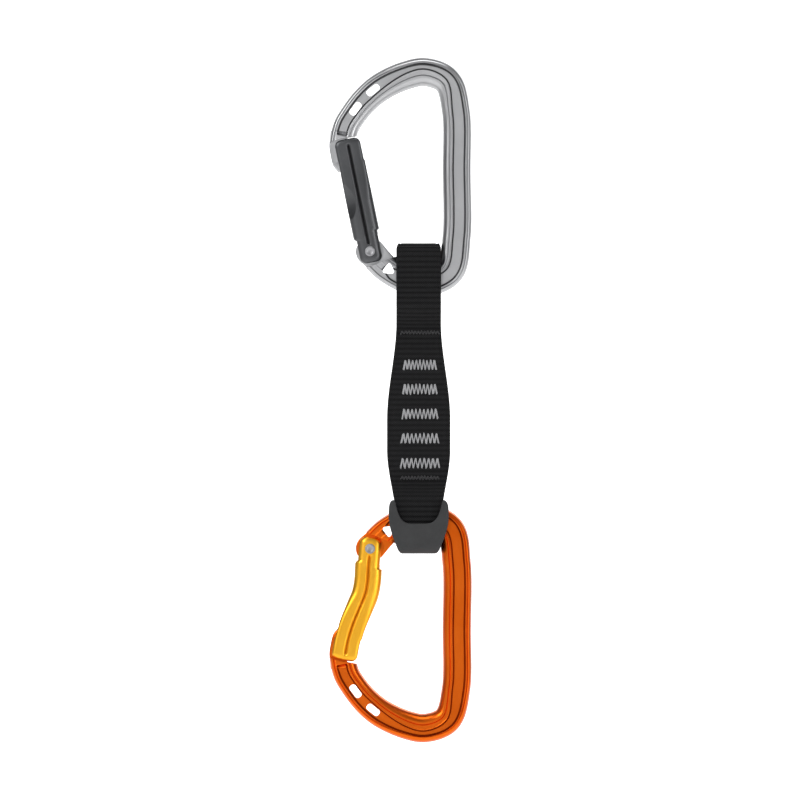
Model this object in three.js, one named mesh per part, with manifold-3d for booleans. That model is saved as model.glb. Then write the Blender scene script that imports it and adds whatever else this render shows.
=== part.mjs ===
// A climbing quickdraw: a straight-gate carabiner above, a bent-gate carabiner below, and a sewn sling between
// them. Millimetres, +Z up, the front of the draw faces -Y. The origin is where the upper carabiner hangs: the
// middle of its top bend, on the inner side. The lower carabiner is the upper one turned half round X.

import * as THREE from "three";
import { mergeVertices } from "three/addons/utils/BufferGeometryUtils.js";
import Module from "manifold-3d";

const wasm = await Module();
wasm.setup();

// ---------------------------------------------------------------------------------------------------------
// Driving dimensions, in millimetres and degrees
// ---------------------------------------------------------------------------------------------------------

const gap = 0.3; // left between pieces that would touch
const slotGap = 0.35; // each side of a tongue in its slot

// Frame
const frameReach = 44.4; // nose to spine, between centre lines
const frameDrop = 82.5; // top bend to bottom bar, between centre lines
const barWidth = 11.3; // the frame's bar, seen from the front
const noseWidth = 10.4; // the same bar at the nose
const flangeThickness = 10.4;
const webThickness = 4.2;
const edgeFlat = 2.6; // width of the nearly flat strip on a rib's edge
const webStep = 0.6; // run of the slope from a land down to the web
const landDrop = 0.2; // a land lies this much below its rib's crest
const seatLength = 4; // flat where the carabiner is loaded, along the bend
const seatDepth = 0.12; // and how deep it is set into the rib

// Widths across the bar at the top bend, where the inner rib is broad, and on the rest of the frame
const bendSection = { innerRib: 4, innerLand: 2.4, outerLand: 0.3, outerRib: 2.2 };
const barSection = { innerRib: 2.6, innerLand: 1.3, outerLand: 1, outerRib: 1.4 };

// Windows through the web, as places along the centre line from its nose end
const noseWindowPlaces = [17.2, 27.1];
const windowLength = 5.8;
const windowWidth = 2.7;
const hingeWindowRadius = 2.5; // of the rounded triangle near the hinge

// Ear, hinge and keylock nose
const earThickness = 4.6;
const earRadius = 5.6;
const earLineDistance = 5.45; // rivet to the line where the raised flange starts
const earLineAngle = -69; // direction of that line's normal, from +X
const tongueLength = 13.2; // nose tip below the end of the flange
const tongueThickness = 4.6;
const tongueInset = 1.7; // the tongue's inner edge, past the nose's centre line
const headLength = 4.3; // the T-shaped end of the tongue, measured towards the hinge
const headThickness = 7.6;
const rivetRadius = 1.35;
const rivetHeadRadius = 1.95;
const rivetHeadHeight = 0.6;
const rivetDish = 0.3;

// Gates
const gateThickness = 9.6;
const gateWidth = 10.7;
const gateTipWidth = 10;
const gateHingeRadius = 4.95;
const gateTipGap = 0.5; // between the gate's tip and the end of the flange
const gateBevel = 1.6;
const gateTipRounding = 2.4;
const straightGateTilt = 11.6; // from the vertical, towards the nose
const bentGateTilt = 5; // of its lower half, where the spring lies
const boreRadius = 2.05;
const boreLength = 18.2;
const pusherLength = 9;
const pusherSeat = 3.2; // rivet centre to the flat on the ear that the pusher bears on
const springWire = 0.5;
const springTurns = 8;

// Sling
const slingLength = 120; // end to end, over the loops
const upperLoopSpace = 6.56; // sling's top above the inner side of the upper bar
const lowerLoopSpace = 3.56; // sling's bottom below the inner side of the lower bar
const strapSideGap = 0.55; // between the strap's edge and the spine
const strapThickness = 1.7;
const layerGap = 0.2; // between the sewn layers
const upperLoopClearance = 2.4; // between the strap and the bar, front and back
const lowerLoopClearance = 1.7;
const upperLoopLength = 33.4; // sling's top to the start of the sewn length
const lowerLoopLength = 26.2;
const lapEndSetback = 2; // the back layer stops short of the sewn length's end
const upperOpenLength = 10; // over which the upper loop widens from the sewn layers
const lowerOpenLength = 8;
const loopWidth = 17.5;
const sewnWidth = 24.8;
const loopEndWidth = 14.4; // the strap rolls in at its sides where it turns over
const loopEndLength = 5.5; // over which it rolls in

// Stitching
const bartackCount = 5;
const firstBartackInset = 14.2; // into the sewn length, from its top
const lastBartackInset = 7.6; // and from its bottom
const bartackWidth = 14.2;
const bartackHeight = 4.2;
const stitchWidth = 15.2;
const stitchHeight = 1.4;
const upperStitchInset = 1.6; // into the sewn length, from its top
const lowerStitchInset = 1.8;
const threadThickness = 0.5;
const threadRadius = 0.45;
const threadSpread = 9; // between the two threads that join a bartack's faces

// Rubber retainer
const retainerWall = 1.7;
const retainerFloor = 1.3;
const retainerHeight = 20.8;
const retainerTopWidth = 23.7;
const retainerBottomWidth = 14.6;
const retainerEarWidth = 2.6;
const retainerNotchDepth = 9;
const retainerBottomRounding = 3.2;
const passageFloorRise = 2; // the side passages stop this far above the strap's outer bottom
const retainerBlockWidth = 16.1;

// ---------------------------------------------------------------------------------------------------------
// Solids
// ---------------------------------------------------------------------------------------------------------

const radians = THREE.MathUtils.degToRad;
const along = (angle) => new THREE.Vector2(Math.cos(radians(angle)), Math.sin(radians(angle)));

function solidOf(geometry) {
  const bare = geometry.clone();
  bare.deleteAttribute("normal");
  bare.deleteAttribute("uv");
  const merged = mergeVertices(bare, 1e-4);
  return new wasm.Manifold(
    new wasm.Mesh({
      numProp: 3,
      vertProperties: new Float32Array(merged.attributes.position.array),
      triVerts: new Uint32Array(merged.index.array),
    }),
  );
}

function geometryOf(solid) {
  const mesh = solid.getMesh();
  const geometry = new THREE.BufferGeometry();
  geometry.setAttribute("position", new THREE.BufferAttribute(mesh.vertProperties, 3));
  geometry.setIndex(new THREE.BufferAttribute(mesh.triVerts, 1));
  geometry.computeVertexNormals();
  return geometry;
}

// A shape drawn in X and Z, given its thickness along Y, half to the front and half to the back.
function plate(shape, thickness, { bevel = 0, segments = 8 } = {}) {
  const geometry = new THREE.ExtrudeGeometry(shape, {
    depth: thickness - 2 * bevel,
    curveSegments: segments,
    bevelEnabled: bevel > 0,
    bevelThickness: bevel,
    bevelSize: bevel,
    bevelOffset: -bevel,
    bevelSegments: 2,
  });
  geometry.rotateX(Math.PI / 2);
  geometry.translate(0, thickness / 2 - bevel, 0);
  return solidOf(geometry);
}

// A shape drawn in Y and Z, given its width along X about the given centre.
function bar(shape, width, centre) {
  const geometry = new THREE.ExtrudeGeometry(shape, { depth: width, bevelEnabled: false, curveSegments: 8 });
  geometry.rotateX(Math.PI / 2);
  geometry.rotateZ(Math.PI / 2);
  geometry.translate(centre - width / 2, 0, 0);
  return solidOf(geometry);
}

// A round rod whose axis is the Z axis turned about Y by `tilt`, towards -X.
function rod(radius, from, to, tilt, origin, segments = 12) {
  const geometry = new THREE.CylinderGeometry(radius, radius, to - from, segments);
  geometry.rotateX(Math.PI / 2);
  geometry.translate(0, 0, (from + to) / 2);
  geometry.rotateY(-radians(tilt));
  geometry.translate(origin.x, 0, origin.y);
  return solidOf(geometry);
}

// A body of revolution about Y, from a profile of [radius, y] points that starts and ends on the axis.
function turned(profile, origin, segments) {
  const points = profile.map(([radius, y]) => new THREE.Vector2(radius, y));
  const geometry = new THREE.LatheGeometry(points, segments);
  geometry.translate(origin.x, 0, origin.y);
  return solidOf(geometry);
}

// A closed solid through matching rings of points, with its ends closed by the ring's own outline.
function loft(rings, outline) {
  const size = rings[0].length;
  const triangles = [];
  for (let i = 0; i + 1 < rings.length; i++) {
    for (let j = 0; j < size; j++) {
      const a = i * size + j;
      const b = i * size + ((j + 1) % size);
      triangles.push(a, b, a + size, b, b + size, a + size);
    }
  }
  const last = (rings.length - 1) * size;
  const backwards = THREE.ShapeUtils.isClockWise(outline);
  for (const triangle of THREE.ShapeUtils.triangulateShape(outline, [])) {
    const [a, b, c] = backwards ? triangle.reverse() : triangle;
    triangles.push(a, c, b, last + a, last + b, last + c);
  }
  const geometry = new THREE.BufferGeometry();
  const positions = rings.flat().flatMap((p) => [p.x, p.y, p.z]);
  geometry.setAttribute("position", new THREE.Float32BufferAttribute(positions, 3));
  geometry.setIndex(triangles);
  const solid = solidOf(geometry);
  if (solid.volume() > 0) {
    return solid;
  }
  geometry.setIndex(triangles.reverse());
  return solidOf(geometry);
}

// Part of a ring about a centre, between two radii and two directions.
function sector(centre, inner, outer, fromAngle, toAngle) {
  const shape = new THREE.Shape();
  shape.absarc(centre.x, centre.y, outer, radians(fromAngle), radians(toAngle), false);
  shape.absarc(centre.x, centre.y, inner, radians(toAngle), radians(fromAngle), true);
  return shape;
}

const smooth = (t) => THREE.MathUtils.smoothstep(t, 0, 1);

// ---------------------------------------------------------------------------------------------------------
// Frame: one bar that runs from the nose over the top bend, down the spine and along the bottom to the hinge
// ---------------------------------------------------------------------------------------------------------

// The centre line's turning points: across in frame reaches from the seat, down in frame drops from the top
const centreShape = [
  [-0.742, 0.372],
  [-0.732, 0.318],
  [-0.703, 0.258],
  [-0.651, 0.21],
  [-0.541, 0.135],
  [-0.399, 0.071],
  [-0.174, 0.015],
  [0, 0],
  [0.187, 0.042],
  [0.265, 0.185],
  [0.2715, 0.47],
  [0.27, 0.784],
  [0.207, 0.948],
  [-0.052, 1],
  [-0.325, 0.939],
  [-0.494, 0.854],
];
const noseEndIndex = 1; // the flange ends at this point of the centre line
const seatIndex = 7;

const centrePoints = centreShape.map(
  ([across, down]) => new THREE.Vector3(across * frameReach, 0, barWidth / 2 - down * frameDrop),
);
const centreLine = new THREE.CatmullRomCurve3(centrePoints, false, "centripetal");
centreLine.arcLengthDivisions = 800;
const centreLength = centreLine.getLength();
const flat = (p) => new THREE.Vector2(p.x, p.z);
const rivet = flat(centrePoints[centrePoints.length - 1]);
const noseEnd = flat(centrePoints[noseEndIndex]);
const barCentre = barWidth / 2 - frameDrop;
const flangeEndRadius = noseEnd.distanceTo(rivet);
const seatPlace = nearestPlace(centrePoints[seatIndex]);

// How far along the centre line a point on it lies, from 0 to 1
function nearestPlace(point) {
  const steps = 600;
  let best = 0;
  for (let i = 1; i <= steps; i++) {
    const closer = centreLine.getPointAt(i / steps).distanceTo(point);
    if (closer < centreLine.getPointAt(best / steps).distanceTo(point)) {
      best = i;
    }
  }
  return best / steps;
}

function widthAt(place) {
  const distance = place * centreLength;
  return THREE.MathUtils.lerp(noseWidth, barWidth, smooth((distance - 12) / 20));
}

// One side of the bar's section: [distance from the inner edge, half thickness], inner edge to outer edge
function halfSection(place) {
  const width = widthAt(place);
  const nearBend = smooth(1 - Math.abs(place - seatPlace) * (centreLength / 24));
  const size = (name) => THREE.MathUtils.lerp(barSection[name], bendSection[name], nearBend);
  const half = flangeThickness / 2;
  const web = webThickness / 2;
  const inner = size("innerRib");
  const innerLand = inner + size("innerLand");
  const outer = width - size("outerRib");
  const outerLand = outer - size("outerLand");
  return [
    [0, edgeFlat / 2],
    [0.12 * inner, 0.52 * half],
    [0.4 * inner, 0.83 * half],
    [inner, half],
    [innerLand, half - landDrop],
    [innerLand + webStep, web],
    [outerLand - webStep, web],
    [outerLand, half - landDrop],
    [outer, half],
    [width - 0.4 * size("outerRib"), 0.83 * half],
    [width - 0.12 * size("outerRib"), 0.52 * half],
    [width, edgeFlat / 2],
  ];
}

function sectionAt(place) {
  const front = halfSection(place);
  const back = front.map(([across, thick]) => [across, -thick]).reverse();
  return [...front, ...back].map(([across, thick]) => new THREE.Vector2(across, thick));
}

// Places for the rings: close together where the bar bends, far apart where it is straight
function ringPlaces() {
  const most = { turn: radians(8), run: 9 };
  const steps = 400;
  const places = [0];
  let tangent = centreLine.getTangentAt(0);
  for (let i = 1; i < steps; i++) {
    const next = centreLine.getTangentAt(i / steps);
    const run = (i / steps - places[places.length - 1]) * centreLength;
    if (next.angleTo(tangent) > most.turn || run > most.run) {
      places.push(i / steps);
      tangent = next;
    }
  }
  return [...places, 1];
}

function bentBar() {
  const rings = ringPlaces().map((place) => {
    const centre = centreLine.getPointAt(place);
    const tangent = centreLine.getTangentAt(place);
    const outward = new THREE.Vector3(-tangent.z, 0, tangent.x);
    return sectionAt(place).map(({ x: across, y: thick }) =>
      centre
        .clone()
        .addScaledVector(outward, across - widthAt(place) / 2)
        .add(new THREE.Vector3(0, thick, 0)),
    );
  });
  return loft(rings, sectionAt(0));
}

// The tongue under the flange's end: it follows the nose's outer edge and rounds over at its tip
function tongueShape() {
  const half = noseWidth / 2;
  const left = noseEnd.x - half;
  const right = noseEnd.x + tongueInset;
  const top = noseEnd.y + 3;
  const tip = noseEnd.y - tongueLength;
  const shape = new THREE.Shape();
  shape.moveTo(right, top);
  shape.lineTo(left + 0.3, top);
  shape.splineThru([
    new THREE.Vector2(left - 0.2, noseEnd.y - 0.25 * tongueLength),
    new THREE.Vector2(left + 0.3, noseEnd.y - 0.5 * tongueLength),
    new THREE.Vector2(left + 1.3, noseEnd.y - 0.8 * tongueLength),
    new THREE.Vector2(left + 3.3, tip),
  ]);
  shape.quadraticCurveTo(right - 0.4, tip - 0.1, right, tip + 1.2);
  return shape;
}

const tongueOutline = tongueShape();
const tipRadius = Math.min(...tongueOutline.getPoints(6).map((p) => p.distanceTo(rivet)));
const shoulderRadius = tipRadius + headLength;

function nose() {
  const tongue = plate(tongueOutline, tongueThickness, { segments: 6 });
  const reach = plate(sector(rivet, 1, shoulderRadius, 60, 150), 2 * headThickness, { segments: 16 });
  const head = plate(tongueOutline, headThickness, { segments: 6 }).intersect(reach);
  return tongue.add(head);
}

// The region on the hinge's side of the raised flange's end, where only the thin ear is left
function besideRivet() {
  const normal = along(earLineAngle);
  const side = new THREE.Vector2(-normal.y, normal.x);
  const reach = 16;
  const at = (out, across) => rivet.clone().addScaledVector(normal, out).addScaledVector(side, across);
  const shape = new THREE.Shape([
    at(earLineDistance, -reach),
    at(earLineDistance, reach),
    at(-reach, reach),
    at(-reach, -reach),
  ]);
  return plate(shape, 2 * flangeThickness);
}

function earPlate() {
  const shape = new THREE.Shape();
  shape.absarc(rivet.x, rivet.y, earRadius, 0, 2 * Math.PI, false);
  return plate(shape, earThickness, { segments: 28 });
}

// Everything above the flat that the pusher bears on, seen along the gate's bore
function abovePusherSeat(tilt) {
  const up = along(90 + tilt);
  const side = new THREE.Vector2(up.y, -up.x);
  const reach = 1.6 * earRadius;
  const at = (rise, across) => rivet.clone().addScaledVector(up, rise).addScaledVector(side, across);
  const shape = new THREE.Shape([
    at(pusherSeat, -reach),
    at(pusherSeat, earRadius),
    at(reach, earRadius),
    at(reach, -reach),
  ]);
  return plate(shape, 2 * earThickness);
}

function roundedSlot(centre, direction, length, width) {
  const shape = new THREE.Shape();
  const side = new THREE.Vector2(-direction.y, direction.x);
  const heading = direction.angle();
  const radius = 0.42 * width;
  const corners = [
    [1, 1, 0],
    [-1, 1, 0.5],
    [-1, -1, 1],
    [1, -1, 1.5],
  ];
  for (const [forward, up, turn] of corners) {
    const corner = centre
      .clone()
      .addScaledVector(direction, forward * (length / 2 - radius))
      .addScaledVector(side, up * (width / 2 - radius));
    const start = heading + turn * Math.PI;
    shape.absarc(corner.x, corner.y, radius, start, start + Math.PI / 2, false);
  }
  return shape;
}

function noseWindow(distance) {
  const place = distance / centreLength;
  const tangent = flat(centreLine.getTangentAt(place));
  const centre = flat(centreLine.getPointAt(place));
  return plate(roundedSlot(centre, tangent, windowLength, windowWidth), 2 * flangeThickness, { segments: 3 });
}

function hingeWindow() {
  const distance = centreLength - 11.4;
  const centre = flat(centreLine.getPointAt(distance / centreLength));
  const shape = new THREE.Shape();
  const corners = [15, 135, 255];
  for (const angle of corners) {
    const corner = centre.clone().addScaledVector(along(angle), 0.55 * hingeWindowRadius);
    const start = radians(angle - 60);
    shape.absarc(corner.x, corner.y, 0.45 * hingeWindowRadius, start, start + radians(120), false);
  }
  return plate(shape, 2 * flangeThickness, { segments: 4 });
}

// A box that leaves a flat on the inner rib where the carabiner is loaded
function seatCut() {
  const shape = new THREE.Shape([
    new THREE.Vector2(-seatLength / 2, -1),
    new THREE.Vector2(seatLength / 2, -1),
    new THREE.Vector2(seatLength / 2, 0),
    new THREE.Vector2(-seatLength / 2, 0),
  ]);
  return plate(shape, edgeFlat + 1);
}

function frameSolid(tilt) {
  const noseReach = plate(sector(rivet, 0.6 * flangeEndRadius, flangeEndRadius, 90, 125), 2 * flangeThickness, {
    segments: 20,
  });
  const rivetHole = turned(
    [
      [0, -flangeThickness],
      [rivetRadius + gap, -flangeThickness],
      [rivetRadius + gap, flangeThickness],
      [0, flangeThickness],
    ],
    rivet,
    20,
  );
  let solid = bentBar().translate(0, 0, -seatDepth);
  solid = solid.subtract(seatCut());
  solid = solid.subtract(noseReach).subtract(besideRivet());
  for (const distance of noseWindowPlaces) {
    solid = solid.subtract(noseWindow(distance));
  }
  const thinBar = plate(thinEndShape(), earThickness, { segments: 4 });
  return solid
    .add(nose())
    .add(thinBar)
    .add(earPlate())
    .subtract(hingeWindow())
    .subtract(abovePusherSeat(tilt))
    .subtract(rivetHole);
}

// The bar's own outline near the hinge, which carries on into the ear at the ear's thickness
function thinEndShape() {
  const from = 1 - 14 / centreLength;
  const steps = 6;
  const edge = (side) =>
    Array.from({ length: steps + 1 }, (_, i) => {
      const place = THREE.MathUtils.lerp(from, 1, i / steps);
      const tangent = flat(centreLine.getTangentAt(place));
      const outward = new THREE.Vector2(-tangent.y, tangent.x);
      const half = THREE.MathUtils.lerp(widthAt(place) / 2 - edgeFlat / 4, earRadius, i / steps);
      return flat(centreLine.getPointAt(place)).addScaledVector(outward, side * half);
    });
  return new THREE.Shape([...edge(-1), ...edge(1).reverse()]);
}

// ---------------------------------------------------------------------------------------------------------
// Gates
// ---------------------------------------------------------------------------------------------------------

// Each gate's centre line, from the rivet to the tip, as points beside and above the rivet
const straightGateLine = [0, 0.25, 0.5, 0.75, 1].map((share) =>
  along(90 + straightGateTilt).multiplyScalar(share * (flangeEndRadius - gateTipGap)),
);
const bentGateShape = [
  [0, 0],
  [-0.014, 0.16],
  [-0.02, 0.27],
  [-0.041, 0.39],
  [-0.093, 0.52],
  [-0.15, 0.66],
  [-0.195, 0.81],
  [-0.225, 0.972],
];
const bentGateLine = bentGateShape.map(([across, up]) =>
  new THREE.Vector2(across, up).multiplyScalar(flangeEndRadius - gateTipGap),
);

function gateOutline(linePoints) {
  const line = new THREE.SplineCurve(linePoints);
  const steps = 12;
  const firstPlace = 0.17;
  const length = line.getLength();
  const lastPlace = 1 - gateTipRounding / length;
  const edge = (side, from, to) =>
    Array.from({ length: steps + 1 }, (_, i) => {
      const place = THREE.MathUtils.lerp(from, to, i / steps);
      const tangent = line.getTangentAt(place);
      const half = THREE.MathUtils.lerp(gateWidth, gateTipWidth, smooth((place - 0.4) / 0.4)) / 2;
      const out = new THREE.Vector2(tangent.y, -tangent.x).multiplyScalar(side * half);
      return line.getPointAt(place).add(out);
    });
  const right = edge(1, firstPlace, lastPlace);
  const left = edge(-1, firstPlace, lastPlace).reverse();
  const tip = line.getPointAt(1);
  const across = line.getTangentAt(1);
  const round = gateTipWidth / 2 - gateTipRounding;
  const corner = (side, out, rise) =>
    tip
      .clone()
      .add(new THREE.Vector2(across.y, -across.x).multiplyScalar(side * out))
      .addScaledVector(across, rise);
  const heading = line.getTangentAt(0).angle() - Math.PI / 2;
  const shape = new THREE.Shape();
  shape.moveTo(right[0].x, right[0].y);
  right.slice(1).forEach((p) => shape.lineTo(p.x, p.y));
  const tipRight = corner(1, round, 0);
  const tipLeft = corner(-1, round, 0);
  const bendRight = corner(1, gateTipWidth / 2, 0);
  const bendLeft = corner(-1, gateTipWidth / 2, -0.5);
  shape.quadraticCurveTo(bendRight.x, bendRight.y, tipRight.x, tipRight.y);
  shape.lineTo(tipLeft.x, tipLeft.y);
  shape.quadraticCurveTo(bendLeft.x, bendLeft.y, left[0].x, left[0].y);
  left.slice(1).forEach((p) => shape.lineTo(p.x, p.y));
  shape.absarc(0, 0, gateHingeRadius, heading + Math.PI - 0.5, heading + 2 * Math.PI + 0.5, false);
  return shape;
}

// The slot for the tongue's neck and the wider pocket for its head, both open towards the nose
function keyhole() {
  const slotRight = noseEnd.x + tongueInset + slotGap;
  const farLeft = rivet.x - frameReach;
  const slotBottom = rivet.y + 0.8 * tipRadius;
  const top = noseEnd.y + 5;
  const nearSlot = new THREE.Shape([
    new THREE.Vector2(farLeft, slotBottom),
    new THREE.Vector2(slotRight, slotBottom),
    new THREE.Vector2(slotRight, top),
    new THREE.Vector2(farLeft, top),
  ]);
  const neckReach = sector(rivet, tipRadius - slotGap, flangeEndRadius + 5, 70, 150);
  const headReach = sector(rivet, tipRadius - slotGap, shoulderRadius + slotGap, 70, 150);
  const neck = plate(nearSlot, tongueThickness + 2 * slotGap).intersect(
    plate(neckReach, 2 * gateThickness, { segments: 20 }),
  );
  const head = plate(nearSlot, headThickness + 2 * slotGap).intersect(
    plate(headReach, 2 * gateThickness, { segments: 20 }),
  );
  return neck.add(head);
}

// The fork's slot: everything below a line across the gate, just above the ear
function forkSlot(tilt) {
  const up = along(90 + tilt);
  const side = new THREE.Vector2(up.y, -up.x);
  const reach = 2 * earRadius;
  const top = earRadius + 2 * gap;
  const at = (rise, across) => rivet.clone().addScaledVector(up, rise).addScaledVector(side, across);
  const shape = new THREE.Shape([at(-reach, -reach), at(-reach, reach), at(top, reach), at(top, -reach)]);
  return plate(shape, earThickness + 2 * slotGap);
}

function gateSolid(linePoints, tilt) {
  const body = plate(gateOutline(linePoints), gateThickness, { bevel: gateBevel, segments: 4 }).translate(
    rivet.x,
    0,
    rivet.y,
  );
  const hole = turned(
    [
      [0, -gateThickness],
      [rivetRadius + gap, -gateThickness],
      [rivetRadius + gap, gateThickness],
      [0, gateThickness],
    ],
    rivet,
    20,
  );
  const boreStart = earRadius;
  const bore = rod(boreRadius, boreStart, boreStart + boreLength, tilt, rivet);
  return body.subtract(keyhole()).subtract(forkSlot(tilt)).subtract(hole).subtract(bore);
}

// ---------------------------------------------------------------------------------------------------------
// Hinge pieces
// ---------------------------------------------------------------------------------------------------------

function rivetSolid() {
  const head = gateThickness / 2 + gap / 2;
  const top = head + rivetHeadHeight;
  const lower = [
    [0, rivetDish - top],
    [0.45 * rivetHeadRadius, 0.7 * rivetDish - top],
    [0.75 * rivetHeadRadius, -top],
    [rivetHeadRadius, 0.4 * rivetHeadHeight - top],
    [rivetHeadRadius, -head],
    [rivetRadius, -head],
  ];
  const upper = lower.map(([radius, y]) => [radius, -y]).reverse();
  return turned([...lower, ...upper], rivet, 20);
}

function pusherSolid(tilt) {
  const start = pusherSeat + gap;
  const end = start + pusherLength;
  const stem = rod(boreRadius - gap, start, end, tilt, rivet, 14);
  const spigot = rod(0.45 * boreRadius, end - 1, end + 1.5, tilt, rivet, 10);
  return stem.add(spigot);
}

// A helix from the pusher's shoulder to the end of the bore
function springSolid(tilt) {
  const start = pusherSeat + 2 * gap + pusherLength + springWire / 2;
  const end = earRadius + boreLength - gap - springWire / 2;
  const radius = boreRadius - gap - springWire / 2;
  const steps = springTurns * 9;
  const sides = 5;
  const rings = Array.from({ length: steps + 1 }, (_, i) => {
    const turn = (2 * Math.PI * springTurns * i) / steps;
    const height = THREE.MathUtils.lerp(start, end, i / steps);
    return Array.from({ length: sides }, (_unused, j) => {
      const around = (2 * Math.PI * j) / sides;
      const out = radius + (springWire / 2) * Math.cos(around);
      const rise = height + (springWire / 2) * Math.sin(around);
      return new THREE.Vector3(out * Math.cos(turn), out * Math.sin(turn), rise);
    });
  });
  const outline = Array.from({ length: sides }, (_, j) => along((360 * j) / sides));
  return loft(rings, outline).rotate([0, -tilt, 0]).translate(rivet.x, 0, rivet.y);
}

// ---------------------------------------------------------------------------------------------------------
// Sling
// ---------------------------------------------------------------------------------------------------------

const spineIndex = 10;
const spineInside = centrePoints[spineIndex].x - barWidth / 2;
const slingOffset = spineInside - strapSideGap - loopWidth / 2;
const upperLoopOpening = flangeThickness + 2 * upperLoopClearance;
const lowerLoopOpening = flangeThickness + 2 * lowerLoopClearance;
const barInside = insideOfBar();
const slingTop = barInside + upperLoopSpace;
const slingBottom = slingTop - slingLength;
const seatSpan = -(slingBottom + lowerLoopSpace + barInside);
const lapTop = slingTop - upperLoopLength;
const lapBottom = slingBottom + lowerLoopLength;
const lapLength = lapTop - lapBottom;
const layerPitch = strapThickness + layerGap;
const sewnHalf = layerPitch + strapThickness / 2;

// The highest point of the bottom bar's inner side that lies within the strap's width
function insideOfBar() {
  const steps = 60;
  let highest = barCentre;
  for (let i = 0; i < steps; i++) {
    const place = 1 - (0.35 * i) / steps;
    const centre = centreLine.getPointAt(place);
    if (Math.abs(centre.x - slingOffset) < loopWidth / 2) {
      highest = Math.max(highest, centre.z + barWidth / 2);
    }
  }
  return highest;
}

// The strap's width at a height: narrow in the loops, broad where it is sewn, rolled in at both ends
function strapWidth(z) {
  const fromTop = smooth((lapTop + 2.5 - z) / (2.5 + 0.59 * lapLength));
  const fromBottom = smooth((z - lapBottom + 16.5) / (16.5 + 0.21 * lapLength));
  const toEnd = Math.min(slingTop - z, z - slingBottom) / loopEndLength;
  const width = THREE.MathUtils.lerp(loopWidth, sewnWidth, fromTop * fromBottom);
  return width - (loopWidth - loopEndWidth) * (1 - Math.min(1, Math.max(0, toEnd))) ** 2;
}

// The strap's centre line in Y and Z, from its inner end to its outer end
function strapPath() {
  const points = [];
  const run = (y, from, to) => {
    const steps = Math.max(1, Math.round(Math.abs(to - from) / 6));
    for (let i = 0; i <= steps; i++) {
      points.push(new THREE.Vector2(y, THREE.MathUtils.lerp(from, to, i / steps)));
    }
  };
  const open = (fromY, toY, from, to) => {
    const steps = 6;
    for (let i = 1; i < steps; i++) {
      const share = i / steps;
      const y = THREE.MathUtils.lerp(fromY, toY, smooth(share));
      points.push(new THREE.Vector2(y, THREE.MathUtils.lerp(from, to, share)));
    }
  };
  const turn = (radius, centre, from, to) => {
    const steps = 12;
    for (let i = 1; i < steps; i++) {
      const direction = along(THREE.MathUtils.lerp(from, to, i / steps));
      points.push(new THREE.Vector2(radius * direction.x, centre + radius * direction.y));
    }
  };
  const upper = (upperLoopOpening + strapThickness) / 2;
  const lower = (lowerLoopOpening + strapThickness) / 2;
  const upperTurn = slingTop - strapThickness / 2 - upper;
  const lowerTurn = slingBottom + strapThickness / 2 + lower;
  run(0, lapTop, lapBottom);
  open(0, lower, lapBottom, lapBottom - lowerOpenLength);
  run(lower, lapBottom - lowerOpenLength, lowerTurn);
  turn(lower, lowerTurn, 0, -180);
  run(-lower, lowerTurn, lapBottom - lowerOpenLength);
  open(-lower, -layerPitch, lapBottom - lowerOpenLength, lapBottom);
  run(-layerPitch, lapBottom, lapTop);
  open(-layerPitch, -upper, lapTop, lapTop + upperOpenLength);
  run(-upper, lapTop + upperOpenLength, upperTurn);
  turn(upper, upperTurn, 180, 0);
  run(upper, upperTurn, lapTop + upperOpenLength);
  open(upper, layerPitch, lapTop + upperOpenLength, lapTop);
  run(layerPitch, lapTop, lapBottom + lapEndSetback);
  return points;
}

function strapSolid() {
  const path = strapPath();
  const half = strapThickness / 2;
  const rings = path.map((point, i) => {
    const before = path[Math.max(0, i - 1)];
    const after = path[Math.min(path.length - 1, i + 1)];
    const tangent = after.clone().sub(before).normalize();
    const normal = new THREE.Vector2(-tangent.y, tangent.x);
    const side = strapWidth(point.y) / 2;
    const corners = [
      [-side, half],
      [side, half],
      [side, -half],
      [-side, -half],
    ];
    return corners.map(
      ([across, out]) =>
        new THREE.Vector3(slingOffset + across, point.x + normal.x * out, point.y + normal.y * out),
    );
  });
  const outline = [new THREE.Vector2(0, 1), new THREE.Vector2(1, 1), new THREE.Vector2(1, 0), new THREE.Vector2()];
  return loft(rings, outline);
}

const bartackPitch = (lapLength - firstBartackInset - lastBartackInset) / (bartackCount - 1);
const bartackHeights = Array.from(
  { length: bartackCount },
  (_, i) => lapTop - firstBartackInset - i * bartackPitch,
);
const stitchHeights = [lapTop - upperStitchInset, lapBottom + lowerStitchInset];

// The pair of threads through the sewn layers at one row of stitching
function threads(height, radius) {
  const reach = sewnHalf + gap + threadThickness / 2;
  const profile = [
    [0, -reach],
    [radius, -reach],
    [radius, reach],
    [0, reach],
  ];
  return [-1, 1].map((side) =>
    turned(profile, new THREE.Vector2(slingOffset + (side * threadSpread) / 2, height), 8),
  );
}

// A row of stitching: its two faces, on the front and the back of the strap, and the threads between them
function stitchSolid(height, width, tall) {
  const shape = new THREE.Shape([
    new THREE.Vector2(slingOffset - width / 2, height - tall / 2),
    new THREE.Vector2(slingOffset + width / 2, height - tall / 2),
    new THREE.Vector2(slingOffset + width / 2, height + tall / 2),
    new THREE.Vector2(slingOffset - width / 2, height + tall / 2),
  ]);
  const out = sewnHalf + gap + threadThickness / 2;
  const face = plate(shape, threadThickness);
  const faces = face.translate(0, -out, 0).add(face.translate(0, out, 0));
  return threads(height, threadRadius).reduce((solid, thread) => solid.add(thread), faces);
}

function webbingSolid() {
  let solid = strapSolid();
  for (const height of [...bartackHeights, ...stitchHeights]) {
    for (const thread of threads(height, threadRadius + gap)) {
      solid = solid.subtract(thread);
    }
  }
  return solid;
}

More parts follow.
